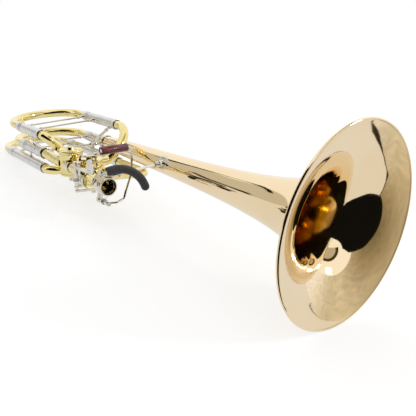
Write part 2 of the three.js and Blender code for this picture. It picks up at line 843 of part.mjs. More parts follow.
/** A half-round crook between two legs, with a short straight run into each ferrule. */
function crook(left, right, start, radius) {
  const from = at(start, left.side, left.up);
  const to = at(start, right.side, right.up);
  const back = new THREE.Vector3(-1, 0, 0);
  const across = to.clone().sub(from);
  const reach = across.length() / 2;
  const middle = from.clone().addScaledVector(across, 0.5);
  const route = new Route([from, to]);
  const lead = ferruleSeat - seatGap;
  route.stations = [{ point: from.clone().addScaledVector(back, -lead), tangent: back.clone() }];
  across.normalize();
  for (let k = 0; k <= crookSteps; k += 1) {
    const turned = (Math.PI * k) / crookSteps;
    route.stations.push({
      point: middle.clone().addScaledVector(across, -reach * Math.cos(turned))
        .addScaledVector(back, reach * Math.sin(turned)),
      tangent: across.clone().multiplyScalar(Math.sin(turned))
        .addScaledVector(back, Math.cos(turned)),
    });
  }
  route.stations.push({
    point: to.clone().addScaledVector(back, -lead), tangent: back.clone().negate(),
  });
  return bar(route, radius, radius - tubeWall);
}

/** A brace between two parallel tubes, with a flared foot on each. */
function brace(from, to, fromRadius, toRadius, radius, foot = braceFootRadius) {
  const line = to.clone().sub(from).normalize();
  const start = from.clone().addScaledVector(line, fromRadius);
  const end = to.clone().addScaledVector(line, -toRadius);
  const length = start.distanceTo(end);
  const tall = Math.min(braceFootHeight, length / 3);
  const flare = radius * footFlareShare;
  const knee = tall * footKneeShare;
  const piece = turned([
    [0, 0], [foot, 0], [flare, knee], [radius, tall], [radius, length - tall],
    [flare, length - knee], [foot, length], [0, length],
  ], smallSides);
  const turn = new THREE.Quaternion().setFromUnitVectors(new THREE.Vector3(0, 1, 0), line);
  return piece.applyQuaternion(turn).translate(start.x, start.y, start.z);
}

/**
 * One tuning slide: its two sleeves stay on the instrument, and its legs, crook and brace move.
 * Each side says where it runs, where its sleeve starts, and how far its leg reaches in.
 */
function makeSlide(name, { left, right, sleeveEnd, crookStart, legRadius, crookRadius, braceAt }) {
  const slideGroup = new THREE.Group();
  instrument.add(slideGroup);
  const bore = legRadius + slipGap;
  const sides = { left, right };
  Object.entries(sides).forEach(([hand, { side, up, sleeveStart, inset, beads }]) => {
    place(instrument, `${name}_${hand}_sleeve`, sleeve(bore, sleeveEnd - sleeveStart, beads),
      nickel, at(sleeveStart, side, up));
    const legStart = sleeveStart + inset;
    place(slideGroup, `${name}_slide_${hand}_leg`, leg(legRadius,
      crookStart - legStart, sleeveEnd + ringGap - legStart, crookRadius), nickel,
    at(legStart, side, up));
  });
  place(slideGroup, `${name}_slide_crook`, crook(left, right, crookStart, crookRadius),
    yellowBrass);
  const ferrule = crookRadius + seatGap + ferruleWall + seatGap;
  place(slideGroup, `${name}_slide_brace`, brace(at(braceAt, left.side, left.up),
    at(braceAt, right.side, right.up), ferrule, ferrule, braceRadius), nickel);
}

const insetOfTube = ferruleSeat * 2;

function makeMainSlide() {
  makeSlide('main', {
    left: {
      side: mainLegSide, up: 0, sleeveStart: mainSleeveStart, inset: insetOfTube,
      beads: [(mainSleeveEnd - mainSleeveStart) / 3],
    },
    right: { side: 0, up: 0, sleeveStart: tailSleeveStart, inset: insetOfTube, beads: [] },
    sleeveEnd: mainSleeveEnd, crookStart: mainCrookStart,
    legRadius: mainTubeRadius + seatGap, crookRadius: mainTubeRadius, braceAt: mainBraceBehind,
  });
  const start = firstValveBehind + knuckleReach + seatGap;
  const end = mainSleeveStart + ferruleSeat;
  const run = (end - start) / 4;
  const bend = tubeRadius * 5;
  place(instrument, 'main_supply_tube', bar(new Route([
    at(start, mainPortSide, -valveDrop), at(start + run, mainPortSide, -valveDrop),
    at(start + run * 3, mainLegSide, 0), at(end, mainLegSide, 0),
  ], [bend, bend], 2), tubeRadius, tubeBore), yellowBrass);
  const tail = tailRadius + seatGap;
  const sleeveOuter = mainTubeRadius + seatGap + slipGap + sleeveWall + sleeveBead + seatGap;
  const half = tailFerruleLength / 2;
  const mouth = hornRadius(tailSleeveStart - half - seatGap) + seatGap * 2;
  place(instrument, 'bell_tail_ferrule', backward(turned([
    [mouth, 0], [mouth + tailFerruleWall, 0], [tail + tailFerruleWall, half],
    [sleeveOuter + tailFerruleWall, tailFerruleLength], [sleeveOuter, tailFerruleLength],
    [sleeveOuter, half + seatGap], [tail + seatGap, half],
  ])), nickel, at(tailSleeveStart - half - seatGap, 0, 0));
}

function makeUpperLoop() {
  makeSlide('f', {
    left: { side: fLeftSide, up: fLeftUp, sleeveStart: fLeftSleeveStart, inset: insetOfTube },
    right: { side: fRightSide, up: fRightUp, sleeveStart: fRightSleeveStart, inset: insetOfTube },
    sleeveEnd: fSleeveEnd, crookStart: fCrookStart,
    legRadius: tubeRadius, crookRadius: tubeRadius - seatGap, braceAt: fSlideBraceBehind,
  });
  const inside = tubeRadius - seatGap;
  place(instrument, 'f_supply_tube', bar(new Route([
    at(firstValveBehind + knuckleReach + seatGap, loopPortSide, -valveDrop),
    at(fRiseStart, loopPortSide, -valveDrop),
    at(fLeftSleeveStart - (fRiseStart - firstValveBehind - knuckleReach), fLeftSide, fLeftUp),
    at(fLeftSleeveStart + ferruleSeat, fLeftSide, fLeftUp),
  ], [inside * 2, inside * 2]), inside, inside - tubeWall), yellowBrass);
  place(instrument, 'f_front_crook', bar(new Route([
    at(fFrontTurn, lowSupplySide - seatGap, -valveDrop),
    at(fFrontTurn, fFrontDropSide + tubeRadius, -valveDrop),
    at(fFrontTurn + seatGap, fFrontDropSide - tubeRadius * 2, fFrontDropUp + tubeRadius),
    at(fFrontTop, fRightSide, fRightUp),
    at(fRightSleeveStart + ferruleSeat, fRightSide, fRightUp),
  ], [tubeRadius * 2, tubeRadius * 4, tubeRadius * 4]), inside, inside - tubeWall), yellowBrass);
}

function makeLowerLoop() {
  makeSlide('second', {
    left: { side: lowLeftSide, up: -lowDrop, sleeveStart: lowLeftSleeveStart, inset: insetOfTube },
    right: { side: lowRightSide, up: -lowDrop, sleeveStart: lowRightSleeveStart,
      inset: insetOfTube },
    sleeveEnd: lowSleeveEnd, crookStart: lowCrookStart,
    legRadius: tubeRadius, crookRadius: tubeRadius - seatGap, braceAt: lowBraceBehind,
  });
  const inside = tubeRadius - seatGap;
  const start = secondValveBehind + knuckleReach + tubeRadius * knuckleLeadShare + seatGap;
  const bend = tubeRadius * crossBendShare;
  place(instrument, 'second_supply_tube', bar(new Route([
    at(start, lowSupplySide, -lowDrop),
    at(lowCrossBehind - seatGap, lowSupplySide, -lowDrop),
    at(lowCrossBehind + seatGap, lowLeftSide, -lowDrop),
    at(lowLeftSleeveStart + ferruleSeat, lowLeftSide, -lowDrop),
  ], [bend, bend]), inside, inside - tubeWall), yellowBrass);
  const port = secondPortEnd();
  const reach = at(lowFrontReach, lowRightSide, -lowDrop);
  const line = reach.clone().sub(port).normalize();
  place(instrument, 'second_front_crook', bar(new Route([
    port.clone().addScaledVector(line, seatGap), reach,
    at(lowRightSleeveStart + ferruleSeat, lowRightSide, -lowDrop),
  ], [tubeRadius * 3]), inside, inside - tubeWall), yellowBrass);
}

function makeBraces() {
  const sleeveOuter = tubeRadius + slipGap + sleeveWall + seatGap;
  const mainOuter = sleeveOuter + mainTubeRadius + seatGap - tubeRadius;
  place(instrument, 'f_sleeve_brace', brace(at(fSleeveBraceBehind, fLeftSide, fLeftUp),
    at(fSleeveBraceBehind, fRightSide, fRightUp), sleeveOuter, sleeveOuter, braceRadius), nickel);
  const strutTop = at(strutTopBehind, fRightSide, fRightUp);
  const strut = brace(strutTop, at(crossBraceBehind, strutFootSide, 0), tubeRadius, 0,
    braceRadius);
  const sleeveLine = new THREE.Vector3(sleeveOuter * 4, 0, 0);
  place(instrument, 'main_cross_brace', cut(join(
    brace(at(crossBraceBehind, mainLegSide, 0), at(crossBraceBehind, 0, 0), tubeRadius + seatGap,
      hornRadius(crossBraceBehind) + seatGap + tailFerruleWall * 2, heavyBraceRadius), strut,
  ), rod(strutTop.clone().add(sleeveLine), strutTop.clone().sub(sleeveLine), sleeveOuter,
    rotorSides)), nickel);
  [['left', lowLeftSide, mainLegSide], ['right', lowRightSide, 0]].forEach(([hand, low, high]) => {
    place(instrument, `second_spacer_${hand}`, brace(at(spacerBehind, low, -lowDrop),
      at(spacerBehind, high, 0), sleeveOuter, mainOuter, braceRadius), nickel);
  });
  place(instrument, 'f_spacer', brace(at(fSpacerBehind, fLeftSide, fLeftUp),
    at(fSpacerBehind, mainLegSide, 0), sleeveOuter, mainOuter, braceRadius), nickel);
}

// Thumb lever: a tube on an upright pin, the paddle arm above and the link arm below

const springRadius = (leverTubeRadius + pinGap + springWire) / Math.cos(Math.PI / coilSteps);
const pinHole = leverPinRadius + pinGap;
const thumbHinge = at(thumbHingeBehind, thumbHingeSide, 0);
const padShare = Math.SQRT1_2;
const thumbLinkArm = stopArmRadius * padShare / Math.sin((thumbTravel / 2) * degrees);
const thumbLinkTip = at(
  thumbHingeBehind - thumbLinkArm * Math.sin((thumbTravel / 2) * degrees),
  thumbHingeSide - thumbLinkArm * Math.cos((thumbTravel / 2) * degrees), 0,
);
const lowerArmTop = -valveDrop - armFace;
const lowerArmBottom = -valveDrop - armTop;
const thumbRodUp = lowerArmBottom - linkGap - linkEyeHeight / 2;

function makeThumbLever() {
  const onAxis = (radius, low, high) => upright(disc(radius, low, high))
    .translate(thumbHinge.x, thumbHinge.y, 0);
  const earHigh = thumbTubeHigh + pinGap + earThickness;
  const axle = onAxis(leverPinRadius, lowerArmBottom, earHigh + pinGap);
  const axleHead = onAxis(leverTubeRadius, earHigh + pinGap, earHigh + pinGap + leverPinRadius);
  const axleFoot = onAxis(leverTubeRadius, lowerArmBottom, lowerArmTop);
  const hingeTube = onAxis(leverTubeRadius, -thumbTubeLow, thumbTubeHigh);
  const armLine = thumbLinkTip.clone().sub(thumbHinge);
  const lowerBar = block(
    new THREE.Vector3(0, -leverBarWidth / 2, lowerArmBottom),
    new THREE.Vector3(armLine.length(), leverBarWidth / 2, lowerArmTop),
  ).rotateZ(Math.atan2(armLine.y, armLine.x)).translate(thumbHinge.x, thumbHinge.y, 0);
  const tip = upright(disc(linkEyeRadius, lowerArmBottom, lowerArmTop))
    .translate(thumbLinkTip.x, thumbLinkTip.y, 0);
  const linkPin = upright(disc(linkPinRadius, thumbRodUp - linkEyeHeight / 2 - linkGap,
    lowerArmTop, smallSides)).translate(thumbLinkTip.x, thumbLinkTip.y, 0);
  const paddleCentre = at(paddleBehind, paddleSide, 0);
  const paddleLine = paddleCentre.clone().sub(thumbHinge);
  const upperBar = block(
    new THREE.Vector3(0, -leverBarThickness / 2, paddleArmUp - leverBarWidth / 2),
    new THREE.Vector3(paddleLine.length(), leverBarThickness / 2, paddleArmUp + leverBarWidth / 2),
  ).rotateZ(Math.atan2(paddleLine.y, paddleLine.x)).translate(thumbHinge.x, thumbHinge.y, 0);
  const oval = new THREE.Shape(ringPoints(1, rotorSides)
    .map((point) => new THREE.Vector2(point.x * paddleHalfLength, point.y * paddleHalfHeight)));
  const paddle = new THREE.ExtrudeGeometry(oval, { depth: paddleThickness, bevelEnabled: false })
    .translate(0, 0, -paddleThickness / 2).rotateX(quarter)
    .translate(paddleCentre.x, paddleCentre.y, paddleUp);
  place(instrument, 'thumb_lever', join(
    axle, axleHead, axleFoot, hingeTube, lowerBar, tip, linkPin, upperBar, paddle,
  ), nickel);
  place(instrument, 'thumb_lever_spring', coil('thumb_lever_spring', springRadius, 90), steel,
    thumbHinge.clone().setZ(thumbSpringUp));
  makeThumbBracket(earHigh, onAxis);
}

/** A C-shaped plate soldered to the second valve's casing. The lever's axle turns in its ears. */
function makeThumbBracket(earHigh, onAxis) {
  const earLow = -thumbTubeLow - pinGap - earThickness;
  const webFar = bracketWebSide + bracketPlate;
  const front = thumbHingeBehind - earWidth / 2;
  const web = block(at(front, bracketWebSide, earLow), at(bracketWebBack, webFar, earHigh));
  const foot = block(at(bracketFootFront, valveSide + casingRadius / 2, -bracketFootLow),
    at(bracketWebBack, webFar, bracketFootHigh));
  const ear = (low) => join(
    block(at(front, bracketWebSide, low),
      at(thumbHingeBehind + earWidth / 2, thumbHingeSide, low + earThickness)),
    onAxis(earWidth / 2, low, low + earThickness),
  );
  const drum = upright(disc(casingRadius + seatGap, -casingHeight, casingHeight, rotorSides))
    .translate(-secondValveBehind, -valveSide, -valveDrop);
  const port = rod(at(receiverFront, mainPortSide, -valveDrop),
    at(firstValveBehind, mainPortSide, -valveDrop), tubeRadius + seatGap, rotorSides);
  place(instrument, 'thumb_lever_bracket', cut(
    join(web, foot, ear(earLow), ear(earHigh - earThickness)),
    drum, port, onAxis(pinHole, earLow - overrun, earHigh + overrun),
  ), nickel);
}

function makeThumbLink() {
  const far = at(firstValveBehind - stopArmRadius * padShare, valveSide + stopArmRadius * padShare,
    thumbRodUp);
  const near = thumbLinkTip.clone().setZ(thumbRodUp);
  const eye = (centre, radius) => upright(disc(radius, -linkEyeHeight / 2, linkEyeHeight / 2))
    .translate(centre.x, centre.y, centre.z);
  const hole = upright(disc(linkPinRadius + pinGap, -linkEyeHeight, linkEyeHeight, smallSides))
    .translate(near.x, near.y, near.z);
  place(instrument, 'f_link_rod', cut(
    join(rod(near, far, linkRodRadius), eye(near, linkEyeRadius), eye(far, linkEyeRadius)), hole,
  ), nickel);
}

// Finger lever: a bent wire round the neckpipe, its tube on a pin under the pipe, a roller on top

const fingerRodUp = -valveDrop + armTop + tiltGap + linkEyeHeight / 2;
const linkArmBehind = secondValveBehind - stopArmRadius * padShare;
const fingerHinge = (behind) => at(behind, fingerHingeSide, -fingerHingeDrop);

function makeFingerLever() {
  const hingeTube = rod(fingerHinge(fingerTubeFront), fingerHinge(fingerTubeBack),
    leverTubeRadius, tubeSides);
  const nutStart = rollerInnerSide + rollerLength - rollerRecess + pinGap;
  const wire = bar(new Route([
    at(fingerTubeFront + leverTubeRadius, fingerHingeSide, -fingerHingeDrop),
    at(wireBehind, wireLowSide + leverTubeRadius * 4, -fingerHingeDrop),
    at(wireBehind, wireLowSide, -wireLowDrop),
    at(wireBehind, wireKneeSide, -wireKneeDrop),
    at(wireBehind, wireTopSide, 0),
    at(wireBehind, wireTopSide, rollerUp),
    at(wireBehind, nutStart + rollerNutLength, rollerUp),
  ], wireBendShares.map((share) => share * wireRadius), 3), wireRadius, 0, smallSides);
  const nut = rod(at(wireBehind, nutStart, rollerUp),
    at(wireBehind, nutStart + rollerNutLength, rollerUp), rollerNutRadius);
  const armStart = at(wireBehind, wireTopSide, fingerRodUp);
  const armEnd = at(linkArmBehind - linkEyeHeight / 2 - pinGap, linkArmSide, fingerRodUp);
  const pinEnd = at(linkArmBehind + linkEyeHeight / 2 + pinGap * 2, linkArmSide, fingerRodUp);
  const headEnd = pinEnd.clone().add(at(linkPinRadius, 0, 0));
  const bore = rod(fingerHinge(fingerTubeFront - overrun), fingerHinge(fingerTubeBack + overrun),
    pinHole);
  place(instrument, 'finger_lever', cut(join(
    hingeTube, wire, nut, rod(armStart, armEnd, linkArmRadius),
    rod(armEnd.clone().add(at(-linkPinRadius, 0, 0)), headEnd, linkPinRadius),
    rod(pinEnd, headEnd, linkArmRadius),
  ), bore), nickel);
  const axleHole = wireRadius + pinGap;
  const recess = rollerNutRadius + pinGap;
  const edge = wireRadius / 4;
  place(instrument, 'finger_roller', turned([
    [axleHole, 0], [rollerRadius - edge, 0], [rollerRadius, edge],
    [rollerRadius, rollerLength - edge], [rollerRadius - edge, rollerLength],
    [recess, rollerLength], [recess, rollerLength - rollerRecess],
    [axleHole, rollerLength - rollerRecess],
  ]).rotateX(Math.PI), rosewood, at(wireBehind, rollerInnerSide, rollerUp));
  const spring = coil('finger_lever_spring', springRadius, 0).rotateY(-quarter);
  place(instrument, 'finger_lever_spring', spring, steel,
    fingerHinge(fingerSpringBehind));
}

/** A post on the front of the second valve's casing. The lever's long pin is screwed into it. */
function makeFingerPost() {
  const low = fingerPostLow;
  const knee = low * fingerPostKneeShare;
  const high = fingerHingeDrop + fingerPostHigh - valveDrop;
  const outline = new THREE.Shape([
    new THREE.Vector2(-low, low / 2), new THREE.Vector2(-low, -low / 2),
    new THREE.Vector2(-low / 2, -low), new THREE.Vector2(low / 2, -low),
    new THREE.Vector2(low, -low / 2), new THREE.Vector2(low, low / 2),
    new THREE.Vector2(fingerPostOuter, knee), new THREE.Vector2(fingerPostOuter, high),
    new THREE.Vector2(-fingerPostInner, high), new THREE.Vector2(-fingerPostInner, knee),
  ]);
  const front = fingerTubeBack + pinGap;
  const plate = new THREE.ExtrudeGeometry(outline, {
    depth: fingerPostThickness, bevelEnabled: false,
  }).rotateX(quarter).rotateZ(-quarter)
    .translate(-front, -fingerHingeSide, -fingerHingeDrop);
  const drum = upright(disc(casingRadius + seatGap, -casingHeight, casingHeight, rotorSides))
    .translate(-secondValveBehind, -valveSide, -valveDrop);
  const cap = upright(disc(capRadius + seatGap * 2, -casingHeight, -capFace + seatGap, rotorSides))
    .translate(-secondValveBehind, -valveSide, -valveDrop);
  const back = front + fingerPostThickness;
  const hole = rod(fingerHinge(front - overrun), fingerHinge(back + overrun), pinHole);
  place(instrument, 'finger_lever_post', cut(plate, drum, cap, hole), nickel);
  place(instrument, 'finger_lever_pin', join(
    rod(fingerHinge(fingerTubeFront - pinGap), fingerHinge(back + pinGap), leverPinRadius),
    rod(fingerHinge(fingerTubeFront - pinGap - leverPinRadius * 2),
      fingerHinge(fingerTubeFront - pinGap), leverTubeRadius),
    rod(fingerHinge(back + pinGap), fingerHinge(back + pinGap + leverPinRadius * 2),
      leverTubeRadius),
  ), steel);
}

function makeFingerLink() {
  const near = at(linkArmBehind, linkArmSide, fingerRodUp);
  const far = at(linkArmBehind, valveSide - stopArmRadius * padShare, fingerRodUp);
  const half = linkEyeHeight / 2;
  const nearEye = backward(disc(linkEyeRadius, -half, half)).translate(near.x, near.y, near.z);
  const farEye = upright(disc(linkEyeRadius, -half, half)).translate(far.x, far.y, far.z);
  const hole = backward(disc(linkPinRadius + pinGap, -linkEyeHeight, linkEyeHeight, smallSides))
    .translate(near.x, near.y, near.z);
  place(instrument, 'second_link_rod',
    cut(join(rod(near, far, linkRodRadius), nearEye, farEye), hole), nickel);
}

// Hand rest: a covered bar that arches over the neckpipe, its rod held in a clamp

function restPoint(angle) {
  return at(restBehind, restArcSide + restArcRadius * Math.cos(angle * degrees),
    -restArcDrop + restArcRadius * Math.sin(angle * degrees));
}

function restTangent(angle) {
  return at(0, Math.sin(angle * degrees), -Math.cos(angle * degrees));
}

/** The arc from one angle to another. */
function restRoute(startAngle, endAngle, steps) {
  const route = new Route([restPoint(startAngle), restPoint(endAngle)]);
  route.stations = Array.from({ length: steps + 1 }, (_, k) => {
    const angle = startAngle + ((endAngle - startAngle) * k) / steps;
    return { point: restPoint(angle), tangent: restTangent(angle).negate() };
  });
  return route;
}

function makeHandRest() {
  const steps = crookSteps - 2;
  const tipAngle = (restRadius / restArcRadius) / degrees;
  const tip = restPoint(restEndAngle);
  const cap = new THREE.SphereGeometry(restRadius, tubeSides, boreSides)
    .translate(tip.x, tip.y, tip.z);
  const cover = join(bar(restRoute(restStartAngle, restEndAngle, steps), restRadius), cap);
  const rodRoute = restRoute(restTailAngle, restEndAngle - tipAngle, steps);
  const channel = bar(rodRoute.extended(seatGap), restRodRadius + seatGap, 0, smallSides);
  place(instrument, 'hand_rest_cover', cut(cover, channel), foam);
  place(instrument, 'hand_rest_rod', bar(rodRoute, restRodRadius, 0, smallSides), steel);
  const centre = restPoint(restClampAngle);
  const receiverAxis = at(restBehind, receiverSide, -receiverDrop);
  const inward = receiverAxis.clone().sub(centre);
  const body = block(
    new THREE.Vector3(-clampWidth / 2, -clampLength / 2, -clampFoot),
    new THREE.Vector3(clampWidth / 2, clampLength / 2, clampCrown),
  ).rotateX(Math.atan2(inward.y, -inward.z)).translate(centre.x, centre.y, centre.z);
  const receiver = backward(disc(receiverRadius + seatGap, -clampWidth * 2, clampWidth * 2,
    rotorSides)).translate(centre.x, -receiverSide, -receiverDrop);
  const along = restTangent(restClampAngle).multiplyScalar(clampLength);
  const hole = rod(centre.clone().sub(along), centre.clone().add(along),
    restRodRadius + pinGap * 2);
  place(instrument, 'hand_rest_clamp', cut(body, receiver, hole), nickel);
}

makeBell();
makeBellBrace();
makeReceiver();
makeNeckpipe();
makeValveLink();
makeCasings();
makeValve('f_valve', firstValveBehind, false, -45, 180 - 90);
makeValve('second_valve', secondValveBehind, true, 45, 180);
makeMainSlide();
makeUpperLoop();
makeLowerLoop();
makeBraces();
makeThumbLever();
makeThumbLink();
makeFingerLever();
makeFingerPost();
makeFingerLink();
makeHandRest();

/** Every corner of the model, in the group's own frame. */
function corners(group) {
  const points = [];
  group.updateMatrixWorld(true);
  group.traverse((node) => {
    if (node.isMesh) {
      const place = node.geometry.attributes.position;
      for (let k = 0; k < place.count; k += 1) {
        points.push(new THREE.Vector3().fromBufferAttribute(place, k)
          .applyMatrix4(node.matrixWorld));
      }
    }
  });
  return points;
}

/** Lays the instrument down: rolled to its side, then lowered from the rim until the rear rests. */
function settle() {
  instrument.rotation.x = restRoll * degrees;
  const points = corners(trombone);
  const rim = points.reduce((low, point) => (point.z < low.z ? point : low));
  const slopes = points.filter((point) => point.x < rim.x - rimRadius)
    .map((point) => (point.z - rim.z) / (rim.x - point.x));
  lean.rotation.y = -Math.atan(Math.min(...slopes));
  const box = new THREE.Box3().setFromPoints(corners(trombone));
  const middle = box.getCenter(new THREE.Vector3());
  lean.position.set(-middle.x, -middle.y, -box.min.z);
}

settle();

export default trombone;
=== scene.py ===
"""Looks of the bass trombone bell section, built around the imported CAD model. Metres."""

import json
import math

import bmesh
import bpy
from mathutils import Matrix, Vector


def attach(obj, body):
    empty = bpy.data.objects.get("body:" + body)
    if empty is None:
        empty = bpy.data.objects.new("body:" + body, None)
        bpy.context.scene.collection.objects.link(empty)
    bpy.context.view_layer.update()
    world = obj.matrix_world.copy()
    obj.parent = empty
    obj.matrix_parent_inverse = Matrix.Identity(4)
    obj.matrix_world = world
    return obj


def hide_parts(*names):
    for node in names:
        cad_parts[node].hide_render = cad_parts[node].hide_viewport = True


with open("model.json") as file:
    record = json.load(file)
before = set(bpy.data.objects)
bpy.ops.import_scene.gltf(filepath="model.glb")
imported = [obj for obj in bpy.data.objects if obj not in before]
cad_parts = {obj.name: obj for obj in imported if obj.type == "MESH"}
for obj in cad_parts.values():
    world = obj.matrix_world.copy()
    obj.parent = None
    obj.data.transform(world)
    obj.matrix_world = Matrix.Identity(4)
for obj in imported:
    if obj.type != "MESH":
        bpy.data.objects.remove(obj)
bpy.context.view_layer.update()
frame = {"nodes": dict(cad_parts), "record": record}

scene = bpy.context.scene
nodes = frame["nodes"]

MM = 0.001
# The instrument's own frame (axes along the bell, sideways and up, origin at the rim) in the row
TO_ROW = Matrix((
    (0.995144, -0.013699, -0.097472, 0.3701373),
    (0.0, 0.990268, -0.139173, 0.0140627),
    (0.09843, 0.138497, 0.985459, 0.1201393),
    (0.0, 0.0, 0.0, 1.0),
))


def spot(behind, side, up):
    """Millimetres behind the rim, sideways to the neckpipe and up, as a point of the instrument."""
    return Vector((-behind, -side, up))


def in_row(point):
    """A point of the instrument, in millimetres, as a point of the row."""
    return TO_ROW @ (point * MM)


def turned(vector):
    """A direction of the instrument's frame in the row."""
    return (TO_ROW.to_3x3() @ Vector(vector)).normalized()


# --------------------------------------------------------------------------- nodes

def node_tools(tree):
    """The node maker and the linker of a tree. The maker sets inputs and properties by name."""
    def add(kind, **values):
        node = tree.nodes.new(kind)
        for key, value in values.items():
            if key in node.inputs:
                node.inputs[key].default_value = value
            else:
                setattr(node, key, value)
        return node

    return add, tree.links.new


def node_material(name):
    """A fresh material with its principled shader, node maker and linker."""
    material = bpy.data.materials.new(name)
    material.use_nodes = True
    add, link = node_tools(material.node_tree)
    return material, material.node_tree.nodes["Principled BSDF"], add, link


def glow_material(name):
    """A material that only gives light, with its emission node, node maker and linker."""
    material = bpy.data.materials.new(name)
    material.use_nodes = True
    material.node_tree.nodes.clear()
    add, link = node_tools(material.node_tree)
    light, out = add("ShaderNodeEmission"), add("ShaderNodeOutputMaterial")
    link(light.outputs[0], out.inputs["Surface"])
    return material, light, add, link


def noise(add, link, vector, scale, detail, distortion=0.0):
    """Cloudy values over a vector."""
    cloud = add("ShaderNodeTexNoise", Scale=scale, Detail=detail, Distortion=distortion)
    link(vector, cloud.inputs["Vector"])
    return cloud.outputs["Fac"]


def stretched(add, link, value, low, high, start=0.0, end=1.0):
    """A value between start and end, carried over to the range from low to high."""
    reach = add("ShaderNodeMapRange", **{
        "From Min": start, "From Max": end, "To Min": low, "To Max": high,
    })
    link(value, reach.inputs["Value"])
    return reach.outputs["Result"]


def calculate(add, link, operation, *values):
    """A math node over links and numbers."""
    node = add("ShaderNodeMath", operation=operation)
    for socket, value in zip(node.inputs, values):
        if isinstance(value, float):
            socket.default_value = value
        else:
            link(value, socket)
    return node.outputs[0]


def two_tone(add, link, factor, first, second, low=0.35, high=0.65):
    """A colour that goes from the first tone to the second as the factor rises."""
    ramp = add("ShaderNodeValToRGB")
    for stop, place, color in zip(ramp.color_ramp.elements, (low, high), (first, second)):
        stop.position, stop.color = place, (*color, 1)
    link(factor, ramp.inputs["Fac"])
    return ramp.outputs["Color"]


def relief(add, link, shader, height, strength, depth):
    """Fine relief on a shader, its depth in metres."""
    bump = add("ShaderNodeBump", Strength=strength, Distance=depth)
    link(height, bump.inputs["Height"])
    link(bump.outputs["Normal"], shader.inputs["Normal"])


def seen_clean(add, link):
    """One for rays of the camera, off metal or through glass, and otherwise zero."""
    path = add("ShaderNodeLightPath")
    share = path.outputs["Is Camera Ray"]
    for kind in ("Is Glossy Ray", "Is Transmission Ray"):
        share = calculate(add, link, "MAXIMUM", share, path.outputs[kind])
    return share


# --------------------------------------------------------------------------- materials

MARKS_SCALE, MARKS_DEPTH = 900.0, 0.0002


def metal(name, first, second, rough, patch, bump, coat=0.0):
    """Polished metal: soft changes of tone, faint polishing marks and a lacquer coat."""
    material, shader, add, link = node_material(name)
    place = add("ShaderNodeTexCoord").outputs["Object"]
    cloud = noise(add, link, place, patch, 3.0)
    link(two_tone(add, link, cloud, first, second), shader.inputs["Base Color"])
    link(stretched(add, link, cloud, rough * 0.8, rough * 1.25), shader.inputs["Roughness"])
    marks = noise(add, link, place, MARKS_SCALE, 2.0)
    relief(add, link, shader, marks, bump, MARKS_DEPTH)
    shader.inputs["Metallic"].default_value = 1.0
    shader.inputs["Coat Weight"].default_value = coat
    shader.inputs["Coat Roughness"].default_value = 0.04
    return material


def brushed(name, first, second, rough):
    """Satin metal with fine streaks of tone, gloss and relief that run along the instrument."""
    material, shader, add, link = node_material(name)
    place = add("ShaderNodeTexCoord").outputs["Object"]
    square = add("ShaderNodeMapping")
    square.inputs["Rotation"].default_value = tuple(-a for a in TO_ROW.to_euler("XYZ"))
    link(place, square.inputs["Vector"])
    along = add("ShaderNodeMapping", Scale=(0.03, 1, 1))
    link(square.outputs["Vector"], along.inputs["Vector"])
    streaks = noise(add, link, along.outputs["Vector"], MARKS_SCALE, 4.0)
    cloud = noise(add, link, place, 70.0, 3.0)
    both = calculate(add, link, "MULTIPLY_ADD", cloud, 0.5,
                     calculate(add, link, "MULTIPLY", streaks, 0.5))
    link(two_tone(add, link, both, first, second), shader.inputs["Base Color"])
    link(stretched(add, link, streaks, rough * 0.75, rough * 1.3), shader.inputs["Roughness"])
    relief(add, link, shader, streaks, 0.06, MARKS_DEPTH)
    shader.inputs["Metallic"].default_value = 1.0
    return material


def wood(name):
    """Oiled dark red wood with its grain along the roller."""
    material, shader, add, link = node_material(name)
    along = add("ShaderNodeMapping", Scale=(260, 26, 260))
    link(add("ShaderNodeTexCoord").outputs["Object"], along.inputs["Vector"])
    grain = noise(add, link, along.outputs["Vector"], 1.0, 6.0, 0.6)
    link(two_tone(add, link, grain, (0.035, 0.005, 0.006), (0.30, 0.045, 0.05), 0.38, 0.62),
         shader.inputs["Base Color"])
    relief(add, link, shader, grain, 0.12, 0.0003)
    shader.inputs["Roughness"].default_value = 0.33
    shader.inputs["Coat Weight"].default_value = 0.25
    shader.inputs["Coat Roughness"].default_value = 0.15
    return material


def closed_foam(name):
    """Dense charcoal foam with fine pores and a dull sheen."""
    material, shader, add, link = node_material(name)
    place = add("ShaderNodeTexCoord").outputs["Object"]
    pores = add("ShaderNodeTexVoronoi", Scale=1400.0)
    link(place, pores.inputs["Vector"])
    cloud = noise(add, link, place, 120.0, 5.0)
    link(two_tone(add, link, cloud, (0.019, 0.02, 0.022), (0.034, 0.035, 0.037)),
         shader.inputs["Base Color"])
    relief(add, link, shader, pores.outputs["Distance"], 0.35, 0.0003)
    shader.inputs["Roughness"].default_value = 0.72
    shader.inputs["Sheen Weight"].default_value = 0.25
    shader.inputs["Sheen Roughness"].default_value = 0.5
    return material


ROSE = metal("rose_brass_lacquer", (0.93, 0.74, 0.47), (0.96, 0.78, 0.52), 0.05, 9.0, 0.004,
             coat=0.2)
YELLOW = metal("yellow_brass_lacquer", (0.88, 0.73, 0.30), (0.94, 0.80, 0.40), 0.06, 40.0, 0.01,
               coat=0.2)
NICKEL = brushed("nickel_silver_satin", (0.62, 0.61, 0.59), (0.82, 0.81, 0.78), 0.2)
RING = metal("nickel_silver_turned", (0.66, 0.64, 0.61), (0.80, 0.78, 0.75), 0.1, 90.0, 0.02)
STEEL = metal("steel_polished", (0.50, 0.50, 0.51), (0.60, 0.60, 0.61), 0.2, 70.0, 0.03)
POLISHED = metal("nickel_silver_polished", (0.72, 0.68, 0.59), (0.84, 0.80, 0.71), 0.1, 60.0,
                 0.015)
# Painted shade: near-black metal that stands in for the shade inside the receiver and the
# neckpipe's bore
BORE_SHADE = metal("bore_painted_shade", (0.020, 0.017, 0.012), (0.045, 0.038, 0.026), 0.5, 90.0, 0.02)
WOOD = wood("rosewood_oiled")
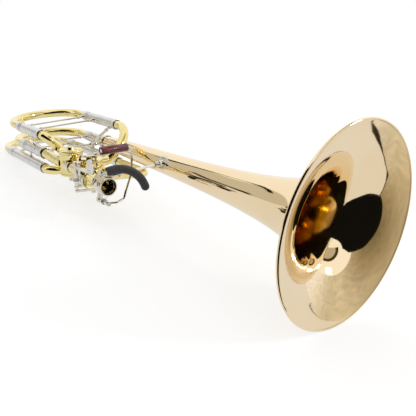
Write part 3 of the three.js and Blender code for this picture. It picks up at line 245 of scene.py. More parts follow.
FOAM = closed_foam("charcoal_foam")

FINISH = {
    "rose_brass": ROSE, "yellow_brass": YELLOW, "nickel_silver": POLISHED, "steel": STEEL,
    "rosewood": WOOD, "foam": FOAM,
}


# --------------------------------------------------------------------------- CAD nodes

SHARP_DEGREES = 40
WELD = 0.00001  # metres


def soften_group():
    """Welds a carried node's corners and shades it smooth, with its sharp edges kept."""
    group = bpy.data.node_groups.new("soften", "GeometryNodeTree")
    group.interface.new_socket("Geometry", in_out="INPUT", socket_type="NodeSocketGeometry")
    group.interface.new_socket("Geometry", in_out="OUTPUT", socket_type="NodeSocketGeometry")
    add, link = node_tools(group)
    start, end = add("NodeGroupInput"), add("NodeGroupOutput")
    weld = add("GeometryNodeMergeByDistance", Distance=WELD)
    faces = add("GeometryNodeSetShadeSmooth", domain="FACE")
    faces.inputs["Shade Smooth"].default_value = True
    angle = add("GeometryNodeInputMeshEdgeAngle")
    sharp = add("FunctionNodeCompare", data_type="FLOAT", operation="GREATER_THAN")
    sharp.inputs[1].default_value = math.radians(SHARP_DEGREES)
    edges = add("GeometryNodeSetShadeSmooth", domain="EDGE")
    edges.inputs["Shade Smooth"].default_value = False
    link(start.outputs[0], weld.inputs["Geometry"])
    link(weld.outputs["Geometry"], faces.inputs["Geometry"])
    link(faces.outputs["Geometry"], edges.inputs["Geometry"])
    link(angle.outputs["Unsigned Angle"], sharp.inputs[0])
    link(sharp.outputs["Result"], edges.inputs["Selection"])
    link(edges.outputs["Geometry"], end.inputs[0])
    return group


SOFTEN = soften_group()

# The solids take the finish of their slots
for part in frame["record"]["subparts"]:
    piece = nodes[part["node"]]
    piece.data.materials.clear()
    piece.data.materials.append(FINISH[part["material_slot"]])
    piece.modifiers.new("soften", "NODES").node_group = SOFTEN


# --------------------------------------------------------------------------- new pieces

def new_object(name, corners, faces, material):
    """A fresh mesh object in the scene."""
    mesh = bpy.data.meshes.new(name)
    mesh.from_pydata([tuple(corner) for corner in corners], [], faces)
    mesh.materials.append(material)
    thing = bpy.data.objects.new(name, mesh)
    scene.collection.objects.link(thing)
    return thing


def make_piece(name, corners, faces, material, body, slot, replaced=(), stepped=False):
    """A smooth piece on a body. A stepped one keeps its sharp edges."""
    piece = new_object(name, corners, faces, material)
    work = bmesh.new()
    work.from_mesh(piece.data)
    bmesh.ops.recalc_face_normals(work, faces=work.faces)
    for face in work.faces:
        face.smooth = True
    work.to_mesh(piece.data)
    work.free()
    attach(piece, body)
    if stepped:
        piece.modifiers.new("soften", "NODES").node_group = SOFTEN
    if replaced:
        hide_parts(*replaced)
    return piece


def turns(count):
    """Even angles round a circle, from zero on."""
    return [2 * math.pi * k / count for k in range(count)]


def loft(rings, caps=False, closed=False):
    """Corners and faces of a skin over rings of equal count, with its ends capped or joined."""
    count = len(rings[0])
    corners = [corner for ring in rings for corner in ring]
    faces = []
    for row in range(len(rings) if closed else len(rings) - 1):
        here, there = row * count, ((row + 1) % len(rings)) * count
        for k in range(count):
            after = (k + 1) % count
            faces.append((here + k, here + after, there + after, there + k))
    if caps:
        faces.append(tuple(range(count))[::-1])
        faces.append(tuple((len(rings) - 1) * count + k for k in range(count)))
    return corners, faces


def ring_round(centre, first, second, radius, sides):
    """Points of the row round a centre of the instrument, in the plane of two directions."""
    return [in_row(centre + (first * math.cos(a) + second * math.sin(a)) * radius)
            for a in turns(sides)]


# Bell, in millimetres: a horn r = rim * ((x + pole) / pole) ** -flare, rounder near its mouth
# and drawn in to the tail's radius from PINCH_START on
RIM_RADIUS, RIM_BEAD = 120.65, 1.9
HORN_POLE, FLARE = 12.5, 0.57
BELL_LENGTH, TAIL_RADIUS, PINCH_START = 548, 11, 400
BELL_WALL = 0.6
MOUTH_BLEND, MOUTH_SLOPE = 45, 3.4
BELL_SIDES, BELL_RINGS = 192, 110
RING_CROWDING = 2.2  # above 1 the rings stand closer near the mouth
THROAT_SHADE_FROM, THROAT_SHADE_FULL = 44, 66  # where the painted shade of the throat starts and where it is fully dark brown


def free_radius(behind):
    """The horn's radius without its mouth and its tail."""
    return RIM_RADIUS * ((behind + HORN_POLE) / HORN_POLE) ** -FLARE


def mouth_radius(behind):
    """The radius near the mouth: a cubic from the rim's slope to the horn's."""
    share = behind / MOUTH_BLEND
    left = 1 - share
    end = free_radius(MOUTH_BLEND)
    slope = end * FLARE / (MOUTH_BLEND + HORN_POLE)
    return (RIM_RADIUS * left ** 2 * (1 + 2 * share) - MOUTH_SLOPE * behind * left ** 2
            + end * share ** 2 * (1 + 2 * left) + slope * MOUTH_BLEND * left * share ** 2)


def horn_radius(behind):
    """The outside radius of the bell at a distance behind its rim."""
    free = mouth_radius(behind) if behind < MOUTH_BLEND else free_radius(behind)
    pinch = max(behind - PINCH_START, 0) / (BELL_LENGTH - PINCH_START)
    return free - (free_radius(BELL_LENGTH) - TAIL_RADIUS) * pinch ** 2


def horn_line(start, offset):
    """The horn's outline as (radius, behind) from a start to the tail, moved off it by a wall."""
    line = []
    for k in range(BELL_RINGS + 1):
        behind = start + (BELL_LENGTH - start) * (k / BELL_RINGS) ** RING_CROWDING
        step = 0.5
        low = max(behind - step, 0)
        slope = (horn_radius(behind + step) - horn_radius(low)) / (behind + step - low)
        length = math.hypot(1, slope)
        line.append((horn_radius(behind) + offset / length, behind - offset * slope / length))
    return line


def throat_shade_finish():
    """Rose brass inside the throat, with painted shade: its colour turns darker and browner the
    deeper it lies, and it gets duller.
    """
    material, shader, add, link = node_material("rose_brass_throat_shade")
    place = add("ShaderNodeTexCoord").outputs["Object"]
    axis = turned((-1, 0, 0))
    along = add("ShaderNodeVectorMath", operation="DOT_PRODUCT")
    link(place, along.inputs[0])
    along.inputs[1].default_value = tuple(axis)
    start = TO_ROW.translation.dot(axis)
    depth = stretched(add, link, along.outputs["Value"], 0.0, 1.0,
                      start + THROAT_SHADE_FROM * MM, start + THROAT_SHADE_FULL * MM)
    # Painted shade: darker brown tones stand in for the shade deep in the throat
    throat_shade_tone = two_tone(add, link, noise(add, link, place, 60.0, 4.0), (0.52, 0.30, 0.035),
                       (0.68, 0.41, 0.065))
    mix = add("ShaderNodeMix", data_type="RGBA")
    mix.inputs["A"].default_value = (0.93, 0.76, 0.49, 1)
    link(depth, mix.inputs["Factor"])
    link(throat_shade_tone, mix.inputs["B"])
    link(mix.outputs["Result"], shader.inputs["Base Color"])
    link(stretched(add, link, depth, 0.05, 0.13), shader.inputs["Roughness"])
    shader.inputs["Metallic"].default_value = 1.0
    return material


def make_bell():
    """The bell as one skin: outside, rolled rim and inside, the throat with painted shade in its
    colour.

    The bead's arc runs from the outside over the rim to the inside."""
    outer = horn_line(RIM_BEAD, 0)[::-1]
    inner = horn_line(RIM_BEAD / 2, -BELL_WALL)
    bead = []
    for k in range(-4, 13):
        angle = math.pi / 16 * k * 0.98 + math.pi / 4
        bead.append((RIM_RADIUS - RIM_BEAD + RIM_BEAD * math.sin(angle),
                     RIM_BEAD / 2 + RIM_BEAD * math.cos(angle)))
    profile = outer + bead + inner
    rings = [[in_row(spot(behind, radius * math.cos(a), radius * math.sin(a)))
              for a in turns(BELL_SIDES)] for radius, behind in profile]
    bell = make_piece("bell_skin", *loft(rings, closed=True), ROSE, "instrument", "rose_brass",
                      ["bell"])
    bell.data.materials.append(throat_shade_finish())
    # Faces deep in the throat take the material of painted shade
    for face in bell.data.polygons:
        row = min(corner // BELL_SIDES for corner in face.vertices)
        if row >= len(outer) + len(bead) and profile[row][1] > THROAT_SHADE_FROM:
            face.material_index = 1


make_bell()

# Hand rest: an arc about a line along the bell, in millimetres and degrees
REST_CENTRE = spot(316, 110, -37.1)
REST_ARC, REST_RADIUS = 52, 6.4
REST_START, REST_END = 76, 160
REST_SIDES, REST_STEPS = 28, 40
REST_EDGE, REST_LEAD = 1.1, 1.3  # rounding of the cut end, and degrees that it takes
REST_SWELL, REST_WAVE, REST_SAG = 0.12, 9.0, 0.1  # hand-cut foam isn't quite even


def rest_ring(angle, radius, along):
    """A ring round the hand rest's arc, moved along it by some millimetres."""
    turn = math.radians(angle)
    outward = Vector((0, -math.cos(turn), math.sin(turn)))
    forward = Vector((0, math.sin(turn), math.cos(turn)))
    centre = REST_CENTRE + outward * REST_ARC
    centre += forward * along
    return ring_round(centre, outward, Vector((1, 0, 0)), radius, REST_SIDES)


def make_hand_rest():
    """The foam cover: a rounded cut end, a long arc and a domed far end."""
    rings = []
    for k in range(5):
        a = math.pi / 2 * k / 4
        rings.append(rest_ring(REST_START, REST_RADIUS - REST_EDGE * (1 - math.sin(a)),
                               REST_EDGE * (1 - math.cos(a))))
    for k in range(1, REST_STEPS + 1):
        share = k / REST_STEPS
        arch = math.sin(math.pi * share)
        swell = REST_SWELL * math.sin(REST_WAVE * share + 0.6) * arch
        rings.append(rest_ring(
            REST_START + REST_LEAD + (REST_END - REST_START - REST_LEAD) * share,
            REST_RADIUS + swell - REST_SAG * arch, 0))
    for k in range(1, 9):
        a = math.pi / 2 * k / 8.4
        rings.append(rest_ring(REST_END, REST_RADIUS * math.cos(a),
                               REST_RADIUS * 0.98 * math.sin(a)))
    cover = make_piece("hand_rest_foam", *loft(rings, caps=True), FOAM, "hand_rest", "foam",
                       ["hand_rest_cover"])


make_hand_rest()

# Tubes: the same runs as the CAD solids, round and with the ferrules where the photo has them.
# Radii in millimetres
TUBE, MAIN_TUBE = 7.8, 8.2
INNER_TUBE = TUBE - 0.3  # the loops' fixed tubes and the upper crook
THIN = 0.6  # wall of sleeves and legs
SLEEVE_STEP, FERRULE_STEP = 0.9, 1.5  # a sleeve over its leg and a ferrule over its crook
THIN_BRACE, WIDE_BRACE = 1.6, 2.3
TUBE_SIDES, BRACE_SIDES = 48, 32
BACK = Vector((-1, 0, 0))


def ring_at(centre, tangent, radius, sides):
    """A ring of points square to a tangent."""
    first = tangent.orthogonal() if abs(tangent.z) > 0.99 else tangent.cross(Vector((0, 0, 1)))
    first.normalize()
    return ring_round(centre, first, tangent.cross(first).normalized(), radius, sides)


def rounded(points, bends, steps=14):
    """Stations (place, tangent) along straight runs whose corners are rounded."""
    stations = [(points[0], (points[1] - points[0]).normalized())]
    for k, bend in enumerate(bends, start=1):
        come = (points[k] - points[k - 1]).normalized()
        leave = (points[k + 1] - points[k]).normalized()
        angle = come.angle(leave)
        across = (leave - come * come.dot(leave)).normalized()
        start = points[k] - come * (bend * math.tan(angle / 2))
        for step in range(steps + 1):
            a = angle * step / steps
            stations.append((start + come * (bend * math.sin(a))
                             + across * (bend * (1 - math.cos(a))),
                             come * math.cos(a) + across * math.sin(a)))
    stations.append((points[-1], (points[-1] - points[-2]).normalized()))
    return stations


def half_round(left, right, start, lead, steps=40):
    """Stations of a slide's crook: a straight lead, a half circle and the lead back."""
    start_left, start_right = spot(start, *left), spot(start, *right)
    across = start_right - start_left
    reach = across.length / 2
    across.normalize()
    middle = (start_left + start_right) / 2
    stations = [(start_left - BACK * lead, BACK)]
    for k in range(steps + 1):
        a = math.pi * k / steps
        stations.append((middle - across * (reach * math.cos(a)) + BACK * (reach * math.sin(a)),
                         across * math.sin(a) + BACK * math.cos(a)))
    stations.append((start_right - BACK * lead, -BACK))
    return stations


def bent_tube(name, stations, radius, replaced, body="instrument"):
    """A tube of yellow brass along a path, its rings carried along without a twist."""
    tangent = stations[0][1]
    first = (tangent.cross(Vector((0, 0, 1))) if abs(tangent.z) < 0.9
             else tangent.orthogonal()).normalized()
    rings = []
    for place, tangent in stations:
        first = (first - tangent * first.dot(tangent)).normalized()
        rings.append(ring_round(place, first, tangent.cross(first), radius, TUBE_SIDES))
    make_piece(name, *loft(rings, caps=True), YELLOW, body, "yellow_brass", replaced,
               stepped=True)


def turned_piece(name, place, profile, material, body, slot, replaced=()):
    """A tube or ring about a line along the bell: pairs of (behind, radius) that close."""
    rings = [ring_at(spot(behind, *place), BACK, radius, TUBE_SIDES)
             for behind, radius in profile]
    make_piece(name, *loft(rings, closed=True), material, body, slot, replaced, stepped=True)


def lip(start, end, radius, height):
    """The outline of a turned ring on a tube, its edges rounded."""
    edge, seat = 0.5, radius - 0.1
    top = radius + height
    return [(start, seat), (start, top - edge), (start + edge * 0.3, top - edge * 0.3),
            (start + edge, top), (end - edge, top), (end - edge * 0.3, top - edge * 0.3),
            (end, top - edge), (end, seat)]


# Slides: radii of legs and crooks, the (side, up) of both hands, and along the bell where sleeves
# start and end, where legs end, where the crook bends, the brace and the rings, and the pull. The
# lower crook is a little thinner, so that it doesn't reach below the CAD model's box
SLIDES = {
    "main": {
        "body": "main_slide", "leg": MAIN_TUBE + 0.3, "crook": MAIN_TUBE,
        "left": (127, 0), "right": (0, 0), "starts": (523, 548.5), "end": 598, "leg_end": 621,
        "bend": 634, "brace": 610, "pull": 45, "rings": ((523, 529), (549, 553.5), (592, 598)),
        "right_rings": ((592, 598),),
    },
    "f": {
        "body": "f_slide", "leg": TUBE, "crook": INNER_TUBE,
        "left": (136, 35), "right": (8, 42), "starts": (507, 485), "end": 591, "leg_end": 606,
        "bend": 624, "brace": 599, "pull": 60, "rings": ((507, 513), (585, 591)),
        "right_rings": ((485, 491), (585, 591)),
    },
    "second": {
        "body": "second_slide", "leg": TUBE, "crook": TUBE - 0.5,
        "left": (131, -25), "right": (10, -25), "starts": (521, 480), "end": 663,
        "leg_end": 686, "bend": 692, "brace": 674, "pull": 80, "rings": ((521, 527), (657, 663)),
        "right_rings": ((480, 486), (657, 663)),
    },
}

SLIDE_GAP = 0.7  # between a sleeve and the ferrule that meets it
LEG_INSET = 12  # a leg's end stands this far inside its sleeve's front end, or less
LEG_HOLD = 3  # what stays in the sleeve at the full pull
CROOK_OVERLAP = 3  # a crook's ends reach this far into its legs
RING_HEIGHT, LIP_HEIGHT, LIP_LENGTH = 0.45, 0.35, 4.5


def make_slides():
    """Sleeves, rings, legs with their ferrules, crook and brace of the three slides."""
    for name, plan in SLIDES.items():
        leg, crook, body = plan["leg"], plan["crook"], plan["body"]
        sleeve, ferrule = leg + SLEEVE_STEP, crook + FERRULE_STEP
        end, leg_end = plan["end"], plan["leg_end"]
        for hand, start, rings in (("left", plan["starts"][0], plan["rings"]),
                                   ("right", plan["starts"][1], plan["right_rings"])):
            place = plan[hand]
            turned_piece(f"{name}_{hand}_sleeve_skin", place, [
                (start, sleeve - THIN), (start, sleeve), (end, sleeve), (end, sleeve - THIN),
            ], NICKEL, "instrument", "nickel_silver", [f"{name}_{hand}_sleeve"])
            for k, (low, high) in enumerate(rings):
                turned_piece(f"{name}_{hand}_ring_{k}", place,
                             lip(low, high, sleeve, RING_HEIGHT), RING, "instrument",
                             "nickel_silver")
            inner = min(start + LEG_INSET, end - plan["pull"] - LEG_HOLD)
            edge = end + SLIDE_GAP
            turned_piece(f"{name}_slide_{hand}_leg_skin", place, [
                (inner, leg - THIN), (inner, leg), (edge, leg), (edge, ferrule - 0.5),
                (edge + 0.5, ferrule), (leg_end - 3.5, ferrule), (leg_end - 1.5, ferrule - 0.3),
                (leg_end, crook + 0.35), (leg_end, crook - THIN),
            ], NICKEL, body, "nickel_silver", [f"{name}_slide_{hand}_leg"])
            turned_piece(f"{name}_slide_{hand}_lip", place,
                         lip(edge, edge + LIP_LENGTH, ferrule, LIP_HEIGHT), RING, body,
                         "nickel_silver")
        bend = plan["bend"]
        bent_tube(f"{name}_slide_crook_skin",
                  half_round(plan["left"], plan["right"], bend,
                             bend - leg_end + CROOK_OVERLAP),
                  crook, [f"{name}_slide_crook"], body)
        brace(f"{name}_slide_brace_skin", spot(plan["brace"], *plan["left"]),
              spot(plan["brace"], *plan["right"]), (ferrule, ferrule), THIN_BRACE,
              [f"{name}_slide_brace"], body)


def brace(name, start, end, sinks, radius, replaced, body="instrument"):
    """A turned rod between two tubes, with a flared foot at each end and a collar if it is long.

    It starts and ends by the sinks off the tubes' axes. Its half is (along, radius)."""
    line = (end - start).normalized()
    low, high = start + line * sinks[0], end - line * sinks[1]
    length = (high - low).length
    foot = min(4.2, length / 3)
    half = [(-0.8, 3.4), (0, 3.6), (0.5, 3.5), (foot * 0.35, radius * 1.7),
            (foot * 0.7, radius * 1.15), (foot, radius)]
    if length > 30:
        half += [(foot + 4, radius), (foot + 4.3, radius + 0.9), (foot + 6, radius + 1.1),
                 (foot + 7.7, radius + 0.9), (foot + 8, radius)]
    profile = half + [(length - along, wide) for along, wide in reversed(half)]
    rings = [ring_at(low + line * along, line, wide, BRACE_SIDES) for along, wide in profile]
    make_piece(name, *loft(rings, caps=True), POLISHED, body, "nickel_silver", replaced,
               stepped=True)


make_slides()

# The upper loop's valve: its axis (behind, side), the height of its tubes, the sides of its inner
# and outer ports and where the supply tubes leave it
VALVE_BEHIND, VALVE_SIDE, VALVE_UP = 456, 111, -4
INNER_PORT, OUTER_PORT, PORT_BEHIND = 97.6, 124.4, 477.3


def make_loops():
    """The fixed tubes of the three loops."""
    main, upper, lower = SLIDES["main"], SLIDES["f"], SLIDES["second"]
    bent_tube("f_front_crook_skin", rounded([
        spot(430, 82.2, VALVE_UP), spot(430, 60, VALVE_UP), spot(426, *upper["right"]),
        spot(490, *upper["right"]),
    ], [TUBE * 2, 50], 24), INNER_TUBE, ["f_front_crook"])
    bent_tube("f_supply_skin", rounded([
        spot(PORT_BEHIND, INNER_PORT, VALVE_UP), spot(492, INNER_PORT, VALVE_UP),
        spot(492, *upper["left"]), spot(512, *upper["left"]),
    ], [INNER_TUBE * 1.6] * 2), INNER_TUBE, ["f_supply_tube"])
    bent_tube("main_supply_skin", rounded([
        spot(PORT_BEHIND, OUTER_PORT, VALVE_UP), spot(489.9, OUTER_PORT, VALVE_UP),
        spot(515.3, *main["left"]), spot(528, *main["left"]),
    ], [TUBE * 5] * 2), TUBE, ["main_supply_tube"])
    low = lower["left"][1]
    bent_tube("second_supply_skin", rounded([
        spot(423.2, 82.5, low), spot(495.7, 82.5, low), spot(496.3, *lower["left"]),
        spot(526, *lower["left"]),
    ], [TUBE * 2.4] * 2), INNER_TUBE, ["second_supply_tube"])
    turn = spot(352, INNER_PORT, VALVE_UP)
    reach = spot(392, *lower["right"])
    start = turn + (reach - turn).normalized() * (TUBE * 2 + 0.3)  # just past the valve's port
    bent_tube("second_front_skin", rounded([start, reach, spot(485, *lower["right"])],
                                           [TUBE * 3]), INNER_TUBE, ["second_front_crook"])


make_loops()

# The fixed braces' places, millimetres behind the rim
F_BRACE, CROSS_BRACE, STRUT_TOP, SPACERS, F_SPACER = 558, 540, 498, 585, 562


def make_braces():
    """The fixed braces between the sleeves, to the stem and between stacked sleeves."""
    main, upper, lower = SLIDES["main"], SLIDES["f"], SLIDES["second"]
    # how far off the tubes' and the stem's axes the rods start
    thin, wide, stem = TUBE + 1.2, MAIN_TUBE + 1.5, horn_radius(CROSS_BRACE) + 3.1
    brace("f_sleeve_brace_skin", spot(F_BRACE, *upper["left"]), spot(F_BRACE, *upper["right"]),
          (thin, thin), THIN_BRACE, ["f_sleeve_brace"])
    brace("main_cross_brace_skin", spot(CROSS_BRACE, *main["left"]),
          spot(CROSS_BRACE, *main["right"]), (wide, stem), WIDE_BRACE, ["main_cross_brace"])
    brace("strut_skin", spot(STRUT_TOP, *upper["right"]), spot(CROSS_BRACE, 35, 0), (thin, 0),
          WIDE_BRACE, [])
    for hand in ("left", "right"):
        brace(f"second_spacer_{hand}_skin", spot(SPACERS, *lower[hand]),
              spot(SPACERS, *main[hand]), (thin, wide), THIN_BRACE,
              [f"second_spacer_{hand}"])
    brace("f_spacer_skin", spot(F_SPACER, *upper["left"]), spot(F_SPACER, *main["left"]),
          (thin, wide), THIN_BRACE, ["f_spacer"])


make_braces()

MILLED_RADIUS, MILLING, MILLED_SIDES = 19.4, 0.22, 96


def make_valve_cap():
    """The cap on the upper loop's valve: a milled edge, a dished face and a tall boss.

    Its outline is (up, radius)."""
    outline = [(15.1, 0.3), (15.1, 4.6), (12.3, 4.7), (12.3, 18.9), (12.5, MILLED_RADIUS),
               (16.7, MILLED_RADIUS), (17.1, 18.9), (17.1, 16.6), (16.5, 16.0), (16.5, 7.4),
               (16.9, 6.4), (17.5, 5.9), (21.6, 5.6), (22.1, 5.1), (22.1, 0.3)]
    rings = []
    for up, radius in outline:
        cut = MILLING if radius == MILLED_RADIUS else 0
        ring = []
        for k, a in enumerate(turns(MILLED_SIDES)):
            reach = radius - cut * (k % 2)
            ring.append(in_row(spot(VALVE_BEHIND + reach * math.cos(a),
                                    VALVE_SIDE + reach * math.sin(a), up)))
        rings.append(ring)
    make_piece("f_valve_cap_skin", *loft(rings, caps=True), YELLOW, "instrument",
               "yellow_brass", ["f_valve_upper_cap"])


make_valve_cap()

# Receiver and neckpipe: the (side, up) of their lines, the thread, whose crest and root lie inside
# its outer radius, and the floor that the bore starts in
RECEIVER, NECK = (123, -8), (123.7, -7.3)
THREAD_START, THREAD_PITCH, THREAD_TURNS = 314.2, 1.3, 12
THREAD_OUTER, THREAD_CREST, THREAD_ROOT = 11.78, 0.8, 0.35
FLOOR_FRONT, FLOOR_BACK, FLOOR_HOLE = 331.1, 331.4, 8.4


def make_receiver_bore():
    """The thread inside the receiver, and a lining at the start of the neckpipe's bore, both
    near-black as painted shade.
    """
    root = THREAD_OUTER - THREAD_ROOT
    thread = [(THREAD_START, THREAD_OUTER)]
    for k in range(THREAD_TURNS):
        thread += [(THREAD_START + k * THREAD_PITCH, root),
                   (THREAD_START + (k + 0.5) * THREAD_PITCH, THREAD_OUTER - THREAD_CREST)]
    thread += [(THREAD_START + THREAD_TURNS * THREAD_PITCH, root), (FLOOR_FRONT, root),
               (FLOOR_FRONT, FLOOR_HOLE), (FLOOR_BACK, FLOOR_HOLE), (FLOOR_BACK, THREAD_OUTER)]
    turned_piece("receiver_thread", RECEIVER, thread, BORE_SHADE, "instrument", "nickel_silver")
    turned_piece("neckpipe_bore_shade", NECK, [
        (331.45, 8.35), (331.45, 8.0), (346, 7.2), (346, 7.5),
    ], BORE_SHADE, "instrument", "yellow_brass")


make_receiver_bore()

ROLLER_BEHIND, ROLLER_UP, ROLLER_RADIUS = 340, 38, 6.0


def make_roller():
    """The finger roller, a little thicker than its solid, with a turned hollow at its end.

    Its outline is (side, radius)."""
    outline = [(75.4, 2.2), (75.4, 5.4), (76.0, ROLLER_RADIUS), (117.4, ROLLER_RADIUS),
               (118.0, 5.8), (118.3, 5.2), (118.3, 3.9), (117.8, 3.5), (113.6, 3.2),
               (113.4, 2.2)]
    rings = [[in_row(spot(ROLLER_BEHIND + radius * math.cos(a), side,
                          ROLLER_UP + radius * math.sin(a))) for a in turns(TUBE_SIDES)]
             for side, radius in outline]
    make_piece("finger_roller_skin", *loft(rings, closed=True), WOOD, "finger_roller",
               "rosewood", ["finger_roller"])


make_roller()


# --------------------------------------------------------------------------- studio

# The studio's cards stand round this point, metres of the row. A turn of 0 degrees looks to -Y
# and one of 90 degrees to +X
MIDDLE = Vector((0.35, 0.05, 0.12))
NEAR_CARDS, CARDS, FAR_CARDS = 2.6, 2.9, 3.0


def direction(turn, height):
    """The direction of a turn and a height in degrees."""
    a, e = math.radians(turn), math.radians(height)
    return Vector((math.sin(a) * math.cos(e), -math.cos(a) * math.cos(e), math.sin(e)))


def glow(name, color):
    """An even light of one colour."""
    material, light = glow_material(name)[:2]
    light.inputs["Color"].default_value = (*color, 1)
    return material


def only_reflected(thing):
    """Marks a thing of the studio that only polished surfaces see."""
    thing.visible_camera = False
    thing.visible_diffuse = False
    thing.visible_shadow = False
    thing.visible_volume_scatter = False


def card(name, rows, distance, material):
    """A curved card round the object: rows of (turn, height) angles in degrees."""
    corners = [MIDDLE + direction(turn, height) * distance
               for row in rows for turn, height in row]
    count = len(rows[0])
    faces = [(i * count + k, i * count + k + 1, (i + 1) * count + k + 1, (i + 1) * count + k)
             for i in range(len(rows) - 1) for k in range(count - 1)]
    only_reflected(new_object(name, corners, faces, material))


def grid(turn_range, heights):
    """Rows of a card that is even in its turns."""
    return [[(turn, height) for turn in turn_range] for height in heights]


def spread(pairs, steps):
    """Points at even shares along a line of pairs."""
    points = []
    for k in range(steps + 1):
        place = k / steps * (len(pairs) - 1)
        i = min(int(place), len(pairs) - 2)
        t = place - i
        points.append(tuple(a + (b - a) * t for a, b in zip(pairs[i], pairs[i + 1])))
    return points


# Across the wall from its left end to its right one: white, grey, and a darker and darker khaki
WALL_LEFT, WALL_RIGHT = 0.6, 3.35
WALL_TONES = ((0.0, (1.0, 1.0, 1.0)), (0.25, (0.94, 0.93, 0.93)), (0.42, (0.80, 0.77, 0.70)),
              (0.55, (0.67, 0.63, 0.53)), (0.70, (0.69, 0.64, 0.52)), (0.78, (0.58, 0.52, 0.40)),
              (0.90, (0.37, 0.31, 0.20)), (1.0, (0.19, 0.15, 0.075)))


def wall_khaki():
    """The far wall: white at the left, darker and more olive to the right, with faint folds."""
    material, light, add, link = glow_material("wall_khaki")
    place = add("ShaderNodeTexCoord").outputs["Object"]
    parts = add("ShaderNodeSeparateXYZ")
    link(place, parts.inputs[0])
    ramp = add("ShaderNodeValToRGB")
    stops = ramp.color_ramp.elements
    stops[0].color, stops[1].color = (*WALL_TONES[0][1], 1), (*WALL_TONES[-1][1], 1)
    for share, color in WALL_TONES[1:-1]:
        stops.new(share).color = (*color, 1)
    link(stretched(add, link, parts.outputs["X"], 0.0, 1.0, WALL_LEFT, WALL_RIGHT),
         ramp.inputs["Fac"])
    folds = noise(add, link, place, 2.2, 6.0, 2.5)
    link(ramp.outputs["Color"], light.inputs["Color"])
    link(stretched(add, link, folds, 0.82, 1.12, 0.3, 0.7), light.inputs["Strength"])
    return material


# The dark room in front of the bell, its upper edge as (turn, height)
ROOM_EDGE = [(-36, 44), (-20, 51), (0, 54), (20, 56), (41, 51), (71, 49), (87, 36), (91, 23),
             (95, 13), (96, 7), (100, -5), (102, -17), (104, -60)]


def make_cards():
    """Room, wall, ceiling and the card at the side, as polished metal sees them."""
    dark = glow("room_dark", (0.006, 0.006, 0.006))
    rows = [spread(ROOM_EDGE, 72)]
    for low in (-30, -60, -89):
        rows.append([(turn, min(height, low) - 0.01) for turn, height in rows[0]])
    card("room_card", rows, NEAR_CARDS, dark)
    card("wall_card", grid(range(86, 179, 6), (-40, -20, 0, 15, 31)), FAR_CARDS, wall_khaki())
    overhead = range(60, 211, 10)
    card("ceiling_card", grid(overhead, (64, 71, 80, 89)), FAR_CARDS,
         glow("ceiling_khaki", (0.52, 0.48, 0.38)))
    card("ceiling_edge", grid(overhead, (57.5, 61, 64)), FAR_CARDS,
         glow("edge_brown", (0.07, 0.045, 0.012)))
    card("side_card", grid(range(-76, -49, 3), (-16, 0, 14, 27)), FAR_CARDS,
         glow("side_grey", (0.60, 0.585, 0.52)))
    card("side_line_top", [spread([(-79, 28), (-70, 17)], 6), spread([(-78, 30), (-69, 19)], 6)],
         CARDS, dark)
    card("side_line_low", [spread([(-56.5, 3), (-53.5, -12)], 6),
                           spread([(-55, 3), (-52, -12)], 6)], CARDS, dark)


PAPER_TONE, PAPER_LIFT = 0.45, 0.64


def paper_white():
    """White paper that shows white to the camera and to metal, and still takes a soft shadow."""
    material, shader, add, link = node_material("paper_white")
    shader.inputs["Base Color"].default_value = (PAPER_TONE, PAPER_TONE, PAPER_TONE, 1)
    shader.inputs["Roughness"].default_value = 0.9
    shader.inputs["Specular IOR Level"].default_value = 0.0
    shader.inputs["Emission Color"].default_value = (1, 1, 1, 1)
    lift = calculate(add, link, "MULTIPLY", seen_clean(add, link), PAPER_LIFT)
    link(lift, shader.inputs["Emission Strength"])
    return material


# The table's edge as the bell shows it, metres of the row
TABLE_EDGE = [(0.41, -30), (0.405, -0.08), (0.43, -0.04), (0.56, 0.06), (0.71, 0.15),
              (0.70, 0.24), (0.685, 0.29), (0.66, 0.31), (0.64, 0.38), (0.63, 0.48),
              (0.64, 0.60), (0.69, 0.74), (0.75, 0.86), (1.2, 1.95), (3, 5)]
# The table's dark side, a strip beyond that edge that looks wider at three of its corners
SIDE_WIDTH, WIDER_AT = 0.012, {6: 0.03, 9: 0.03, 10: 0.045}
SIDE_UP = -0.0003
FLOOR_REACH, FLOOR_UP = 30, -0.0002


def make_table_side():
    """The table's dark side, laid flat: a thin line in the bell."""
    corners = []
    for k, (x, y) in enumerate(TABLE_EDGE):
        corners += [(x, y, SIDE_UP), (x + WIDER_AT.get(k, SIDE_WIDTH), y, SIDE_UP)]
    faces = [(k, k + 1, k + 3, k + 2) for k in range(0, len(corners) - 2, 2)]
    only_reflected(new_object("table_side", corners, faces,
                              glow("side_dark", (0.02, 0.015, 0.01))))


def make_floor():
    """The pale floor, and the table's outline as polished metal sees it."""
    paper = paper_white()
    far = FLOOR_REACH
    outlines = {
        "floor": [(-far, -far), (far, -far), (far, far), (-far, far)],
        "table": TABLE_EDGE + [(far, far), (-far, far), (-far, -far)],
    }
    for name, outline in outlines.items():
        thing = new_object(name, [(x, y, 0) for x, y in outline],
                           [tuple(range(len(outline)))], paper)
        thing.location.z = FLOOR_UP
        if name == "table":
            only_reflected(thing)
        else:
            thing.visible_glossy = False


ROOM_LIGHT = 0.8


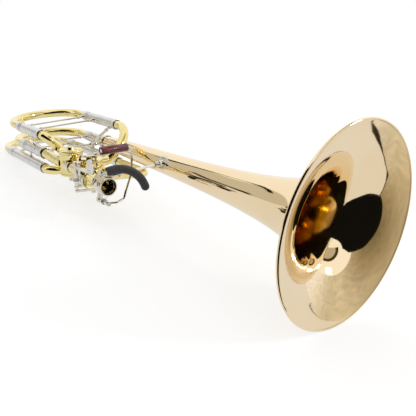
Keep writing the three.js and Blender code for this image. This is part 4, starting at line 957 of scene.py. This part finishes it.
def make_world():
    """A white room that lights softly, and shows plain white to the camera and to metal."""
    world = bpy.data.worlds.new("studio")
    scene.world = world
    world.use_nodes = True
    world.node_tree.nodes.clear()
    add, link = node_tools(world.node_tree)
    out = add("ShaderNodeOutputWorld")
    plain = add("ShaderNodeBackground", Color=(1, 1, 1, 1), Strength=1.0)
    room = add("ShaderNodeBackground", Color=(1, 1, 1, 1), Strength=ROOM_LIGHT)
    mix = add("ShaderNodeMixShader")
    link(seen_clean(add, link), mix.inputs["Fac"])
    link(room.outputs[0], mix.inputs[1])
    link(plain.outputs[0], mix.inputs[2])
    link(mix.outputs[0], out.inputs["Surface"])


def make_lamp(name, turn, height, distance, size, power):
    """A square lamp that looks at the middle of the object. Degrees, metres and watts."""
    ray = direction(turn, height)
    lamp = bpy.data.lights.new(name, "AREA")
    lamp.shape = "SQUARE"
    lamp.size = size
    lamp.energy = power
    holder = bpy.data.objects.new(name, lamp)
    holder.location = MIDDLE + ray * distance
    holder.rotation_euler = (-ray).to_track_quat("-Z", "Y").to_euler()
    scene.collection.objects.link(holder)


# The photo's camera, worked out from the bell's ellipse and the tubes. Its axes and its place, in
# millimetres, are the instrument's frame's
FOCAL_PIXELS, FRAME_PIXELS, SENSOR = 476.5, 416, 36
CAMERA_RIGHT, CAMERA_DOWN = (0.64413, 0.76477, 0.01521), (0.27345, -0.21165, -0.93831)
CAMERA_FORWARD, CAMERA_PLACE = (-0.71437, 0.60855, -0.34545), (261.54, -429.30, 197.61)


def make_camera():
    """The camera where the photo was taken from."""
    camera = bpy.data.cameras.new("camera")
    camera.sensor_width = SENSOR
    camera.lens = FOCAL_PIXELS / FRAME_PIXELS * SENSOR
    camera.clip_start = 0.01
    holder = bpy.data.objects.new("camera", camera)
    right, down, forward = turned(CAMERA_RIGHT), turned(CAMERA_DOWN), turned(CAMERA_FORWARD)
    place = in_row(Vector(CAMERA_PLACE))
    holder.matrix_world = Matrix((
        (right.x, -down.x, -forward.x, place.x),
        (right.y, -down.y, -forward.y, place.y),
        (right.z, -down.z, -forward.z, place.z),
        (0, 0, 0, 1),
    ))
    scene.collection.objects.link(holder)
    scene.camera = holder


make_floor()
make_table_side()
make_world()
make_cards()
make_lamp("softbox", turn=142, height=39, distance=1.8, size=0.3, power=5)
make_camera()
scene.view_settings.view_transform = "Standard"
